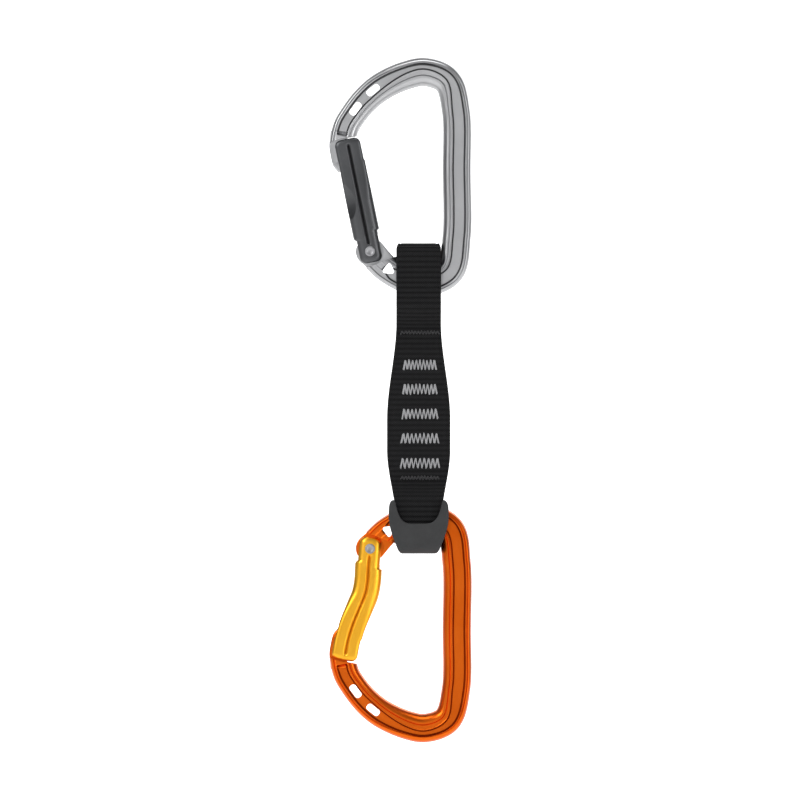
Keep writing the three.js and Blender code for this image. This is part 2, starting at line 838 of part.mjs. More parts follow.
// The retainer's front outline: a cup that narrows downwards, with an ear at each side of a round notch
function retainerOutline() {
  const bottom = slingBottom - gap - retainerFloor;
  const top = bottom + retainerHeight;
  const half = retainerTopWidth / 2;
  const low = retainerBottomWidth / 2;
  const inner = half - retainerEarWidth;
  const x = (offset) => slingOffset + offset;
  const shape = new THREE.Shape();
  shape.moveTo(x(-low), bottom);
  shape.lineTo(x(low), bottom);
  shape.quadraticCurveTo(x(low + 1.4), bottom, x(low + 1.9), bottom + 2);
  shape.lineTo(x(half - 0.3), bottom + 0.62 * retainerHeight);
  shape.quadraticCurveTo(x(half + 0.2), top - 3, x(half - 0.6), top - 0.8);
  shape.quadraticCurveTo(x(half - 1.2), top, x(inner + 0.4), top);
  shape.bezierCurveTo(x(inner - 0.8), top - 0.8 * retainerNotchDepth, x(0.4 * inner), top - retainerNotchDepth, x(0), top - retainerNotchDepth);
  shape.bezierCurveTo(x(-0.4 * inner), top - retainerNotchDepth, x(0.8 - inner), top - 0.8 * retainerNotchDepth, x(-inner - 0.4), top);
  shape.quadraticCurveTo(x(1.2 - half), top, x(0.6 - half), top - 0.8);
  shape.quadraticCurveTo(x(-half - 0.2), top - 3, x(0.3 - half), bottom + 0.62 * retainerHeight);
  shape.lineTo(x(-low - 1.9), bottom + 2);
  shape.quadraticCurveTo(x(-low - 1.4), bottom, x(-low), bottom);
  return shape;
}

// The retainer's side outline: straight walls on a rounded floor
function retainerProfile(half, bottom, round) {
  const top = slingBottom + 2 * retainerHeight;
  const shape = new THREE.Shape();
  shape.moveTo(half, top);
  shape.lineTo(-half, top);
  shape.lineTo(-half, bottom + round);
  shape.absarc(round - half, bottom + round, round, Math.PI, 1.5 * Math.PI, false);
  shape.absarc(half - round, bottom + round, round, 1.5 * Math.PI, 2 * Math.PI, false);
  return shape;
}

function retainerSolid() {
  const strapOuter = lowerLoopOpening / 2 + strapThickness;
  const inner = strapOuter + gap;
  const bottom = slingBottom - gap - retainerFloor;
  const outer = plate(retainerOutline(), 4 * strapOuter, { segments: 5 }).intersect(
    bar(retainerProfile(inner + retainerWall, bottom, retainerBottomRounding), 2 * retainerTopWidth, slingOffset),
  );
  const passage = bar(
    retainerProfile(inner, slingBottom + passageFloorRise, 1),
    2 * retainerTopWidth,
    slingOffset,
  );
  const strapSlot = bar(
    retainerProfile(inner, slingBottom - gap, inner - 0.01),
    loopWidth + 2 * gap,
    slingOffset,
  );
  const besideBlock = [-1, 1].map((side) =>
    bar(
      retainerProfile(inner, bottom - 1, 0.5),
      retainerTopWidth,
      slingOffset + (side * (retainerBlockWidth + retainerTopWidth)) / 2,
    ),
  );
  return outer.subtract(passage).subtract(strapSlot).subtract(besideBlock[0]).subtract(besideBlock[1]);
}

// ---------------------------------------------------------------------------------------------------------
// Assembly
// ---------------------------------------------------------------------------------------------------------

const satinSteel = { color: 0xb9babd, roughness: 0.3, metalness: 1 };
const silverAnodised = { color: 0xb4b6ba, roughness: 0.35, metalness: 0.9 };
const greyAnodised = { color: 0x5b5d60, roughness: 0.4, metalness: 0.8 };
const orangeAnodised = { color: 0xd9601c, roughness: 0.35, metalness: 0.8 };
const yellowAnodised = { color: 0xf0b032, roughness: 0.35, metalness: 0.8 };
const springSteel = { color: 0x8b8d90, roughness: 0.35, metalness: 1 };
const blackWebbing = { color: 0x1d1d1f, roughness: 0.9, metalness: 0 };
const greyThread = { color: 0x9b9c9e, roughness: 0.8, metalness: 0 };
const blackThread = { color: 0x161617, roughness: 0.8, metalness: 0 };
const greyRubber = { color: 0x3c3d3e, roughness: 0.75, metalness: 0 };

const quickdraw = new THREE.Group();

function addPiece(parent, name, solid, look) {
  const mesh = new THREE.Mesh(geometryOf(solid), new THREE.MeshStandardMaterial(look));
  mesh.name = name;
  parent.add(mesh);
}

function addCarabiner(parent, prefix, gateLine, tilt, frameLook, gateLook) {
  addPiece(parent, `${prefix}_frame`, frameSolid(tilt), frameLook);
  addPiece(parent, `${prefix}_gate`, gateSolid(gateLine, tilt), gateLook);
  addPiece(parent, `${prefix}_hinge_rivet`, rivetSolid(), satinSteel);
  addPiece(parent, `${prefix}_spring_pusher`, pusherSolid(tilt), satinSteel);
  addPiece(parent, `${prefix}_gate_spring`, springSolid(tilt), springSteel);
}

const upperCarabiner = new THREE.Group();
addCarabiner(upperCarabiner, "upper", straightGateLine, straightGateTilt, silverAnodised, greyAnodised);
quickdraw.add(upperCarabiner);

const lowerCarabiner = new THREE.Group();
lowerCarabiner.rotation.x = Math.PI;
lowerCarabiner.position.z = -seatSpan;
addCarabiner(lowerCarabiner, "lower", bentGateLine, bentGateTilt, orangeAnodised, yellowAnodised);
quickdraw.add(lowerCarabiner);

addPiece(quickdraw, "sling_webbing", webbingSolid(), blackWebbing);
bartackHeights.forEach((height, i) => {
  addPiece(quickdraw, `bartack_${i + 1}`, stitchSolid(height, bartackWidth, bartackHeight), greyThread);
});
["upper", "lower"].forEach((name, i) => {
  const solid = stitchSolid(stitchHeights[i], stitchWidth, stitchHeight);
  addPiece(quickdraw, `end_stitch_${name}`, solid, blackThread);
});
addPiece(quickdraw, "retainer", retainerSolid(), greyRubber);

export default quickdraw;
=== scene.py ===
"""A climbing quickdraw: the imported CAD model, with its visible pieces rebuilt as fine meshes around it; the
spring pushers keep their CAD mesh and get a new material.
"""

import math
import random

import bmesh
import bpy
import numpy as np
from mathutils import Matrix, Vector


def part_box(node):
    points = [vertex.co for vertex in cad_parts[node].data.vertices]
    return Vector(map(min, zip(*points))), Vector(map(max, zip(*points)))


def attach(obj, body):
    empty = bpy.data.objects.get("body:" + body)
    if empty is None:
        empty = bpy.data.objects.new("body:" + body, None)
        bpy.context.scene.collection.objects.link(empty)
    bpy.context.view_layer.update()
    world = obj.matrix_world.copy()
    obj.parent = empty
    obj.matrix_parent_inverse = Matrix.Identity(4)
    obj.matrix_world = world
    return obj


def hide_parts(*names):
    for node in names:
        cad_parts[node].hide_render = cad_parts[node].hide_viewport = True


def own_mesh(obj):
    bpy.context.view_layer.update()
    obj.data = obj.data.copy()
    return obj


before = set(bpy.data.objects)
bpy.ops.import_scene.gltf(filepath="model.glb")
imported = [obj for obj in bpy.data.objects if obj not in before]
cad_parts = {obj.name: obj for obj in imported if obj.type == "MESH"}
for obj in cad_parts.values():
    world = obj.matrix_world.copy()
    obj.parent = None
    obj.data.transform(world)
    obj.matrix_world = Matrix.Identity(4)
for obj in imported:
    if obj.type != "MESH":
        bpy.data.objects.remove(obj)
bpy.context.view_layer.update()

MM = 0.001


# ---------------- Sizes of the design, in millimetres. The places come from the frame's boxes.

def box_mm(node):
    low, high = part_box(node)
    return np.array(low) / MM, np.array(high) / MM


UPPER_HIGH = box_mm("upper_frame")[1]
LOWER_LOW = box_mm("lower_frame")[0]
STRAP_LOW, STRAP_HIGH = box_mm("sling_webbing")
RIVET_LOW, RIVET_HIGH = box_mm("upper_hinge_rivet")
RETAINER_LOW, RETAINER_HIGH = box_mm("retainer")

SPAN = -(LOWER_LOW[2] + UPPER_HIGH[2])  # from the upper seat down to the lower one
RIVET = np.array([(RIVET_LOW[0] + RIVET_HIGH[0]) / 2, (RIVET_LOW[2] + RIVET_HIGH[2]) / 2])

# Frame
REACH = 44.4
DROP = 82.5
BAR = 11.3
NOSE_WIDTH = 10.4
HALF = UPPER_HIGH[1]  # half the flange's thickness
WEB_HALF = 2.1
LAND_DROP = 0.2
SEAT_DEPTH = 0.12
POCKET_START = 5.6  # from the bar's nose end to the sunk web
POCKET_END = 8.0  # from the sunk web to the rivet
BEND = {"inner_rib": 4.0, "inner_land": 2.4, "outer_land": 0.3, "outer_rib": 2.2}
STRAIGHT = {"inner_rib": 2.6, "inner_land": 1.3, "outer_land": 1.0, "outer_rib": 1.4}
CENTRE_SHAPE = [
    (-0.742, 0.372), (-0.732, 0.318), (-0.703, 0.258), (-0.651, 0.21), (-0.541, 0.135), (-0.399, 0.071),
    (-0.174, 0.015), (0, 0), (0.187, 0.042), (0.265, 0.185), (0.2715, 0.47), (0.27, 0.784), (0.207, 0.948),
    (-0.052, 1), (-0.325, 0.939), (-0.494, 0.854),
]
CREASE = 0.42  # the step from a rib down to its land
GROOVE_DEEPER = 0.45  # how far the groove beside the web lies below the web
GROOVE_FLOOR = 0.5
GROOVE_WIDTH = 0.58
GROOVE_TO_WEB = 0.75
WINDOW_PLACES = (17.2, 27.1)  # along the centre line
WINDOW_LENGTH = 5.8
WINDOW_WIDTH = 2.8
HINGE_WINDOW_PLACE = 10.0  # from the rivet, along the centre line
HINGE_WINDOW_REACH = 1.45  # from its middle to the middles of its round corners
HINGE_WINDOW_CORNER = 0.95
RIVET_HOLE = 1.65
EAR_HALF = 2.3
EAR_RADIUS = 5.6
THIN_END = 8.5  # length of the bar beside the rivet that is as thin as the ear
PUSHER_FLAT = 3.2  # from the rivet to the flat that the pusher bears on
EAR_LINE = (5.45, -69)  # distance from the rivet and direction of the line where the flange starts
TONGUE_LENGTH = 13.2
TONGUE_HALF = 2.3
TONGUE_INSET = 1.7
HEAD_LENGTH = 4.3
HEAD_HALF = 3.55
SLOT_GAP = 0.35

# Gates
GATE_HALF = 4.8
GATE_WIDTH = 10.7
GATE_HINGE_HALF = 4.5
GATE_HINGE_END = 4.4
GATE_CORNER = 2.4
GATE_SHOULDERS = {-1: 5.3, 1: 7.9}  # from the rivet to where each side widens
GATE_TIP_STEP = 35.8  # from the rivet to the small step in the right-hand side
GATE_TIP_STEP_DEPTH = 0.3
GATE_TAPER = 0.12
GATE_GROOVE = 0.9
GATE_GROOVE_WIDTH = 0.55
BORE_HALF = 2.05
BORE_LENGTH = 18.2
GATE_TIP_GAP = 0.5
GATE_TIP_ROUND = 2.4
STRAIGHT_TILT = 11.6
BENT_TILT = 5.0
BENT_SHAPE = [
    (0, 0), (-0.014, 0.16), (-0.02, 0.27), (-0.041, 0.39), (-0.093, 0.52), (-0.15, 0.66), (-0.195, 0.81),
    (-0.225, 0.972),
]

SPRING_FOOT = 12.8  # from the rivet to the spring's lower end
SPRING_LENGTH = 10.4
SPRING_RADIUS = 1.4
SPRING_WIRE = 0.25
SPRING_TURNS = 8

# Sling
STRAP = 1.7
LAYER = 1.9  # from one sewn layer to the next
LOOP_WIDTH = 17.5
SEWN_WIDTH = STRAP_HIGH[0] - STRAP_LOW[0]
LOOP_END_WIDTH = 15.4
LOOP_END_LENGTH = 2.6
STRAP_X = (STRAP_LOW[0] + STRAP_HIGH[0]) / 2
STRAP_TOP = STRAP_HIGH[2]
STRAP_BOTTOM = STRAP_LOW[2]
LAP_TOP = STRAP_TOP - 33.4
LAP_BOTTOM = STRAP_BOTTOM + 26.2
LAP = LAP_TOP - LAP_BOTTOM
UPPER_OPENING = 15.2
LOWER_OPENING = 13.8
OPEN_UPPER = 10
OPEN_LOWER = 8
STITCH_X = STRAP_X + 0.5
RIDGE_PITCH = 2.0  # from one weft ridge of the webbing to the next
WIDENS_ABOVE = 2.5  # above the lap, where the strap starts to widen
WIDENS_BELOW = 16.5  # the same below the lap
STRAP_STEP = 0.22
THREAD_STEP = 0.35
BARTACKS = 5
BARTACK_WIDTH = 12.3
BARTACK_GROWTH = 0.65  # each bartack is this much wider than the one above


# ---------------- Curves

def smooth(t):
    t = np.clip(t, 0, 1)
    return t * t * (3 - 2 * t)


def direction(degrees):
    return np.array([math.cos(math.radians(degrees)), math.sin(math.radians(degrees))])


def spline(points, per_span=60):
    """A centripetal Catmull-Rom curve through the points, as many short chords."""
    pts = [np.array(p, float) for p in points]
    ends = [2 * pts[0] - pts[1], *pts, 2 * pts[-1] - pts[-2]]
    out = []
    for i in range(len(pts) - 1):
        a, b, c, d = ends[i : i + 4]
        before, here, after = (max(1e-6, np.linalg.norm(q - p)) ** 0.5 for p, q in ((a, b), (b, c), (c, d)))
        start = ((b - a) / before - (c - a) / (before + here) + (c - b) / here) * here
        end = ((c - b) / here - (d - b) / (here + after) + (d - c) / after) * here
        for t in np.arange(per_span) / per_span:
            cubic = (2 * b - 2 * c + start + end) * t**3 + (3 * c - 3 * b - 2 * start - end) * t**2
            out.append(b + start * t + cubic)
    return np.array([*out, pts[-1]])


class Path:
    """A polyline that can be read by distance, with its tangent."""

    def __init__(self, points):
        self.points = points
        steps = np.linalg.norm(np.diff(points, axis=0), axis=1)
        self.distance = np.concatenate([[0], np.cumsum(steps)])
        self.length = self.distance[-1]

    def at(self, s):
        axes = [np.interp(s, self.distance, self.points[:, k]) for k in range(self.points.shape[1])]
        return np.stack(axes, axis=-1)

    def tangent(self, s, reach=0.4):
        step = self.at(np.minimum(s + reach, self.length)) - self.at(np.maximum(s - reach, 0))
        return step / np.linalg.norm(step, axis=-1, keepdims=True)


CENTRE = Path(spline([(x * REACH, BAR / 2 - z * DROP) for x, z in CENTRE_SHAPE]))
NOSE_END = np.array([CENTRE_SHAPE[1][0] * REACH, BAR / 2 - CENTRE_SHAPE[1][1] * DROP])
FLANGE_RADIUS = float(np.linalg.norm(NOSE_END - RIVET))
TOP_PLACE = CENTRE.distance[np.argmax(CENTRE.points[:, 1])]


# ---------------- Meshes

def new_object(name, vertices, faces):
    """A mesh object from points in millimetres."""
    mesh = bpy.data.meshes.new(name)
    mesh.from_pydata([tuple(v) for v in np.asarray(vertices) * MM], [], faces)
    mesh.validate()
    piece = bpy.data.objects.new(name, mesh)
    bpy.context.scene.collection.objects.link(piece)
    bm = bmesh.new()
    bm.from_mesh(mesh)
    bmesh.ops.recalc_face_normals(bm, faces=bm.faces)
    bm.to_mesh(mesh)
    bm.free()
    return piece


def loft(name, rings, closed=False):
    """A tube through equal rings of points, with its ends capped unless it closes on itself."""
    rings = np.asarray(rings)
    count, size = rings.shape[:2]
    faces = []
    for i in range(count if closed else count - 1):
        a, b = i * size, ((i + 1) % count) * size
        for j in range(size):
            k = (j + 1) % size
            faces.append((a + j, a + k, b + k, b + j))
    if not closed:
        faces.append(tuple(range(size))[::-1])
        faces.append(tuple(range((count - 1) * size, count * size)))
    return new_object(name, rings.reshape(-1, 3), faces)


def extrude(name, near, far):
    """A solid between two outlines of as many points each."""
    count = len(near)
    faces = [tuple(range(count)), tuple(range(2 * count - 1, count - 1, -1))]
    faces += [(i, (i + 1) % count, count + (i + 1) % count, count + i) for i in range(count)]
    return new_object(name, [*near, *far], faces)


def prism(name, outline, half, bevel=0.0):
    """An outline in X and Z, given its thickness to the front and the back, with rounded rims."""
    piece = extrude(name, [(x, -half, z) for x, z in outline], [(x, half, z) for x, z in outline])
    if bevel:
        bm = bmesh.new()
        bm.from_mesh(piece.data)
        rims = [e for e in bm.edges if abs(e.verts[0].co.y - e.verts[1].co.y) < 1e-7]
        bmesh.ops.bevel(
            bm, geom=rims, offset=bevel * MM, segments=4, profile=0.5, affect="EDGES", clamp_overlap=True
        )
        bm.to_mesh(piece.data)
        bm.free()
    return piece


def apply_modifiers(piece):
    graph = bpy.context.evaluated_depsgraph_get()
    graph.update()
    mesh = bpy.data.meshes.new_from_object(piece.evaluated_get(graph))
    piece.modifiers.clear()
    old = piece.data
    piece.data = mesh
    bpy.data.meshes.remove(old)


def combine(piece, tool, operation):
    """Joins or cuts with another mesh, which is used up."""
    modifier = piece.modifiers.new("combine", "BOOLEAN")
    modifier.operation = operation
    modifier.solver = "EXACT"
    modifier.object = tool
    apply_modifiers(piece)
    bpy.data.objects.remove(tool, do_unlink=True)
    return piece


def cut(piece, *tools):
    for tool in tools:
        combine(piece, tool, "DIFFERENCE")


def shade(piece, angle=32):
    for polygon in piece.data.polygons:
        polygon.use_smooth = True
    piece.data.set_sharp_from_angle(angle=math.radians(angle))
    return piece


def soften(piece, width, angle=40, segments=2):
    """Rounds the sharp edges that cutting and joining leave."""
    bevel = piece.modifiers.new("soften", "BEVEL")
    bevel.width = width * MM
    bevel.segments = segments
    bevel.limit_method = "ANGLE"
    bevel.angle_limit = math.radians(angle)
    bevel.use_clamp_overlap = True
    apply_modifiers(piece)
    return piece


def lathe(name, profile, centre, segments=64):
    """A body of revolution about Y through `centre`, from [radius, y] points that end on the axis."""
    inner = profile[1:-1]
    vertices = [(centre[0], profile[0][1], centre[1]), (centre[0], profile[-1][1], centre[1])]
    faces = []
    for radius, y in inner:
        for k in range(segments):
            x, z = radius * direction(360 * k / segments)
            vertices.append((centre[0] + x, y, centre[1] + z))
    rows = len(inner)
    for k in range(segments):
        after = (k + 1) % segments
        faces.append((0, 2 + after, 2 + k))
        last = 2 + (rows - 1) * segments
        faces.append((1, last + k, last + after))
        for r in range(rows - 1):
            a, b = 2 + r * segments, 2 + (r + 1) * segments
            faces.append((a + k, a + after, b + after, b + k))
    return new_object(name, vertices, faces)


def below(piece):
    """Turns a piece made for the upper carabiner half round X, into its place on the lower one."""
    for vertex in piece.data.vertices:
        x, y, z = vertex.co
        vertex.co = (x, -y, -z - SPAN * MM)
    return piece


# ---------------- Materials

class Nodes:
    """A material's node tree, with short ways to add and link nodes."""

    def __init__(self, name):
        self.material = bpy.data.materials.new(name)
        self.material.use_nodes = True
        self.tree = self.material.node_tree
        self.shader = self.tree.nodes["Principled BSDF"]

    def add(self, kind, **values):
        node = self.tree.nodes.new(kind)
        for key, value in values.items():
            if key in node.inputs:
                node.inputs[key].default_value = value
            else:
                setattr(node, key, value)
        return node

    def link(self, source, target):
        self.tree.links.new(source, target)

    def strap_map(self):
        """The map in millimetres of the strap and its threads, whole and by its two axes."""
        uv = self.add("ShaderNodeUVMap", uv_map="strap").outputs["UV"]
        axes = self.add("ShaderNodeSeparateXYZ")
        self.link(uv, axes.inputs["Vector"])
        return uv, axes.outputs["X"], axes.outputs["Y"]

    def noise(self, coordinates, scale, detail=3.0, roughness=0.6):
        node = self.add("ShaderNodeTexNoise", Scale=scale, Detail=detail, Roughness=roughness)
        self.link(coordinates, node.inputs["Vector"])
        return node.outputs["Fac"]

    def ramp(self, value, *stops):
        node = self.add("ShaderNodeValToRGB")
        elements = node.color_ramp.elements
        while len(elements) < len(stops):
            elements.new(0.5)
        for element, (position, colour) in zip(elements, stops):
            element.position = position
            element.color = (*colour, 1)
        self.link(value, node.inputs["Fac"])
        return node.outputs["Color"]

    def spread(self, value, low, high):
        node = self.add("ShaderNodeMapRange")
        node.inputs["To Min"].default_value = low
        node.inputs["To Max"].default_value = high
        self.link(value, node.inputs["Value"])
        return node.outputs["Result"]

    def math(self, operation, a, b):
        node = self.add("ShaderNodeMath", operation=operation)
        for socket, value in zip(node.inputs, (a, b)):
            if isinstance(value, (int, float)):
                socket.default_value = value
            else:
                self.link(value, socket)
        return node.outputs["Value"]

    def bump(self, height, strength, distance, normal=None):
        node = self.add("ShaderNodeBump", Strength=strength, Distance=distance)
        self.link(height, node.inputs["Height"])
        if normal is not None:
            self.link(normal, node.inputs["Normal"])
        return node.outputs["Normal"]


def metal(name, dark, light, roughness, grain=1.0, scratches=0.25):
    """Anodised or bare metal: a fine blasted grain, slow changes of shade, and faint handling marks."""
    n = Nodes(name)
    place = n.add("ShaderNodeTexCoord").outputs["Object"]
    n.shader.inputs["Metallic"].default_value = 1.0
    cloud = n.noise(place, 60, 4)
    n.link(n.ramp(cloud, (0.3, dark), (0.7, light)), n.shader.inputs["Base Color"])
    fine = n.noise(place, 5200 * grain, 2)
    wear = n.noise(place, 420, 6, 0.75)
    rough = n.math("ADD", n.spread(wear, roughness - 0.06, roughness + 0.09), n.spread(fine, -0.03, 0.03))
    n.link(rough, n.shader.inputs["Roughness"])
    stretched = n.add("ShaderNodeMapping")
    stretched.inputs["Scale"].default_value = (900, 900, 90)
    stretched.inputs["Rotation"].default_value = (0.3, 0.5, 0.2)
    n.link(place, stretched.inputs["Vector"])
    marks = n.noise(stretched.outputs["Vector"], 1.0, 3)
    first = n.bump(fine, 0.10, 0.00004)
    n.link(n.bump(marks, scratches, 0.000012, first), n.shader.inputs["Normal"])
    return n.material


def webbing(name):
    """Black flat webbing: warp yarns side by side, crossed by picks, with painted light on the crests of the
    weft ridges and painted shade in the valleys between them.
    """
    n = Nodes(name)
    uv, across, along = n.strap_map()
    yarns_per_mm, picks_per_mm = 2.2, 1.35
    turn = 2 * math.pi
    warp = n.math("SINE", n.math("MULTIPLY", across, turn * yarns_per_mm), 0)
    shift = n.math("MULTIPLY", across, 0.5 * turn * yarns_per_mm)
    picks = n.math("ADD", n.math("MULTIPLY", along, turn * picks_per_mm), shift)
    weft = n.math("SINE", picks, 0)
    weave = n.math("MULTIPLY", n.math("ADD", warp, 1.2), n.math("ADD", weft, 1.4))
    fibre = n.add("ShaderNodeMapping")
    fibre.inputs["Scale"].default_value = (9, 2.5, 1)
    n.link(uv, fibre.inputs["Vector"])
    fuzz = n.noise(fibre.outputs["Vector"], 1.0, 5, 0.7)
    # Painted light and shade: the colour is lightened along the crests of the weft ridges that the strap's
    # mesh raises, so the valleys between them read darker.
    painted_ridge_light = n.math("ABSOLUTE", n.math("SINE", n.math("MULTIPLY", along, math.pi / RIDGE_PITCH), 0), 0)
    shade_value = n.math("ADD", n.math("MULTIPLY", weave, 0.13), n.math("MULTIPLY", fuzz, 0.3))
    shade_value = n.math("ADD", shade_value, n.math("MULTIPLY", painted_ridge_light, 0.38))
    low, middle, high = (0.0015, 0.0015, 0.0016), (0.005, 0.005, 0.0053), (0.02, 0.02, 0.021)
    colour = n.ramp(shade_value, (0.2, low), (0.55, middle), (1.0, high))
    n.link(colour, n.shader.inputs["Base Color"])
    n.link(n.spread(fuzz, 0.62, 0.86), n.shader.inputs["Roughness"])
    n.shader.inputs["Sheen Weight"].default_value = 0.02
    n.shader.inputs["Sheen Roughness"].default_value = 0.45
    n.shader.inputs["Specular IOR Level"].default_value = 0.15
    first = n.bump(weave, 0.55, 0.00012)
    n.link(n.bump(fuzz, 0.25, 0.00008, first), n.shader.inputs["Normal"])
    return n.material


def thread(name, dark, light):
    """Bonded sewing thread: two plies twisted round each other."""
    n = Nodes(name)
    uv, across, along = n.strap_map()
    turn = 2 * math.pi
    twist = n.math("ADD", n.math("MULTIPLY", along, 1.6 * turn), n.math("MULTIPLY", across, 2 * turn))
    ply = n.math("SINE", twist, 0)
    fibre = n.noise(uv, 14, 4, 0.7)
    mixed = n.math("ADD", n.math("MULTIPLY", ply, 0.22), fibre)
    n.link(n.ramp(mixed, (0.25, dark), (0.75, light)), n.shader.inputs["Base Color"])
    n.link(n.spread(fibre, 0.45, 0.7), n.shader.inputs["Roughness"])
    n.shader.inputs["Sheen Weight"].default_value = 0.2
    n.link(n.bump(mixed, 0.6, 0.0001), n.shader.inputs["Normal"])
    return n.material


def rubber(name):
    """Moulded rubber: matt, with a fine spark-eroded texture and a little dust."""
    n = Nodes(name)
    place = n.add("ShaderNodeTexCoord").outputs["Object"]
    fine = n.noise(place, 3200, 3)
    cloud = n.noise(place, 140, 5, 0.65)
    colour = n.ramp(cloud, (0.3, (0.020, 0.0205, 0.021)), (0.7, (0.030, 0.0305, 0.0315)))
    n.link(colour, n.shader.inputs["Base Color"])
    n.link(n.spread(fine, 0.5, 0.68), n.shader.inputs["Roughness"])
    n.shader.inputs["Specular IOR Level"].default_value = 0.4
    n.shader.inputs["Sheen Weight"].default_value = 0.03
    first = n.bump(fine, 0.35, 0.00006)
    n.link(n.bump(cloud, 0.15, 0.0002, first), n.shader.inputs["Normal"])
    return n.material


LOOKS = {
    "silver_frame": metal("silver_anodised", (0.45, 0.452, 0.458), (0.50, 0.502, 0.508), 0.29),
    "grey_gate": metal("grey_anodised", (0.085, 0.087, 0.09), (0.11, 0.112, 0.116), 0.38),
    "orange_frame": metal("orange_anodised", (0.74, 0.12, 0.007), (0.84, 0.155, 0.012), 0.30),
    "yellow_gate": metal("yellow_anodised", (0.90, 0.44, 0.028), (0.97, 0.50, 0.04), 0.36),
    "steel_rivet": metal("rivet_steel", (0.30, 0.30, 0.31), (0.38, 0.38, 0.39), 0.42, scratches=0.5),
    "steel_pusher": metal("pusher_steel", (0.42, 0.42, 0.44), (0.52, 0.52, 0.54), 0.3, scratches=0.5),
    "spring_steel": metal("spring_steel", (0.3, 0.3, 0.32), (0.42, 0.42, 0.44), 0.28),
    # Painted shade: darker copies of the frame and gate metals, put on the groove faces so that the grooves
    # read dark.
    "silver_frame_groove": metal("silver_groove_painted_shade", (0.11, 0.11, 0.113), (0.15, 0.15, 0.153), 0.5),
    "orange_frame_groove": metal("orange_groove_painted_shade", (0.32, 0.036, 0.003), (0.40, 0.048, 0.004), 0.5),
    "grey_gate_groove": metal("grey_gate_groove", (0.02, 0.02, 0.021), (0.03, 0.03, 0.031), 0.55),
    "yellow_gate_groove": metal("yellow_gate_groove", (0.50, 0.19, 0.010), (0.58, 0.23, 0.014), 0.5),
    "black_webbing": webbing("black_webbing"),
    "grey_thread": thread("grey_thread", (0.20, 0.20, 0.205), (0.46, 0.46, 0.47)),
    "black_thread": thread("black_thread", (0.006, 0.006, 0.0065), (0.022, 0.022, 0.024)),
    "grey_rubber": rubber("grey_rubber"),
}


def finish_piece(piece, look, body, *nodes):
    """Gives a piece its material, the darker copy that paints shade into its grooves where its look has one,
    the body it rides on and the CAD nodes it stands for.
    """
    piece.data.materials.append(LOOKS[look])
    # The second material is painted shade for the faces flagged in a groove.
    if f"{look}_groove" in LOOKS:
        piece.data.materials.append(LOOKS[f"{look}_groove"])
    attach(piece, body)
    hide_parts(*nodes)
    return piece


# ---------------- Camera, light and backdrop

def look_at(thing, target):
    thing.rotation_euler = (Vector(target) - thing.location).to_track_quat("-Z", "Y").to_euler()


def add_camera():
    middle = Vector((-10.2 * MM, 0, -SPAN / 2 * MM))
    distance = 3.0
    view_width = 0.3136
    data = bpy.data.cameras.new("camera")
    data.sensor_width = 36
    data.lens = data.sensor_width * distance / view_width
    data.clip_end = 20
    camera = bpy.data.objects.new("camera", data)
    camera.location = middle + Vector((0, -distance, 0))
    bpy.context.scene.collection.objects.link(camera)
    look_at(camera, middle)
    bpy.context.scene.camera = camera
    return middle


def add_light(name, place, target, size, power):
    data = bpy.data.lights.new(name, "AREA")
    data.shape = "RECTANGLE"
    data.size, data.size_y = size
    data.energy = power
    light = bpy.data.objects.new(name, data)
    light.location = place
    bpy.context.scene.collection.objects.link(light)
    look_at(light, target)


def add_studio(middle):
    for name, place, size, power in (
        ("key", (-1.0, -1.1, 0.75), (0.6, 0.9), 12),
        ("fill", (1.05, -1.0, 0.1), (0.5, 1.1), 6),
        ("front", (-0.1, -1.9, 0.25), (0.5, 0.7), 1.2),
        ("top", (0.0, -0.3, 1.2), (0.9, 0.5), 5),
        ("back", (0.5, 1.1, 0.5), (0.8, 0.8), 2),
    ):
        add_light(name, middle + Vector(place), middle, size, power)
    world = bpy.data.worlds.new("studio")
    world.use_nodes = True
    world.node_tree.nodes["Background"].inputs["Color"].default_value = (0.95, 0.96, 1.0, 1)
    world.node_tree.nodes["Background"].inputs["Strength"].default_value = 0.26
    bpy.context.scene.world = world
    bpy.context.scene.view_settings.view_transform = "Standard"


def paper(name, glow):
    """Matt paper that is lit a little from within, as a studio backdrop is by its own lamps."""
    n = Nodes(name)
    place = n.add("ShaderNodeTexCoord").outputs["Object"]
    colour = n.ramp(n.noise(place, 3, 3), (0.3, (0.88, 0.88, 0.88)), (0.7, (0.92, 0.92, 0.92)))
    n.link(colour, n.shader.inputs["Base Color"])
    n.shader.inputs["Roughness"].default_value = 0.9
    n.shader.inputs["Emission Color"].default_value = (1, 1, 1, 1)
    n.shader.inputs["Emission Strength"].default_value = glow
    return n.material


def add_backdrop(middle):
    """A pale floor under the draw, and a white sheet of paper behind it."""
    floor_z, floor_reach = middle.z - 0.35, 6.0
    wall_y, wall_width, wall_top = 2.0, 2.6, middle.z + 1.6
    square = [(-1, -1), (1, -1), (1, 1), (-1, 1)]
    floor = [(x * floor_reach, y * floor_reach, floor_z) for x, y in square]
    wall = [(x * wall_width / 2, wall_y, wall_top if up > 0 else floor_z) for x, up in square]
    for name, glow, corners in (("floor", 0.42, floor), ("wall", 0.95, wall)):
        sheet = new_object(name, np.array(corners) / MM, [(0, 1, 2, 3)])
        sheet.data.materials.append(paper(f"{name}_paper", glow))


# ---------------- Frames

def width_at(s):
    return NOSE_WIDTH + (BAR - NOSE_WIDTH) * smooth((s - 12) / 20)


def pocket_depth(s):
    """How far the web is sunk at a distance: 0 at the solid ends, 1 along the rest."""
    return float(smooth((s - POCKET_START) / 1.1) * smooth((CENTRE.length - POCKET_END - s) / 1.3))


def rib_profile(rib, steps=10):
    """A rib from its edge to its crease: [across, half thickness]."""
    power = 2.25
    shares = [1 - math.cos(math.pi / 2 * k / (steps - 1)) for k in range(steps)]
    return [(rib * t, HALF * (1 - (1 - t) ** power) ** (1 / power)) for t in shares]


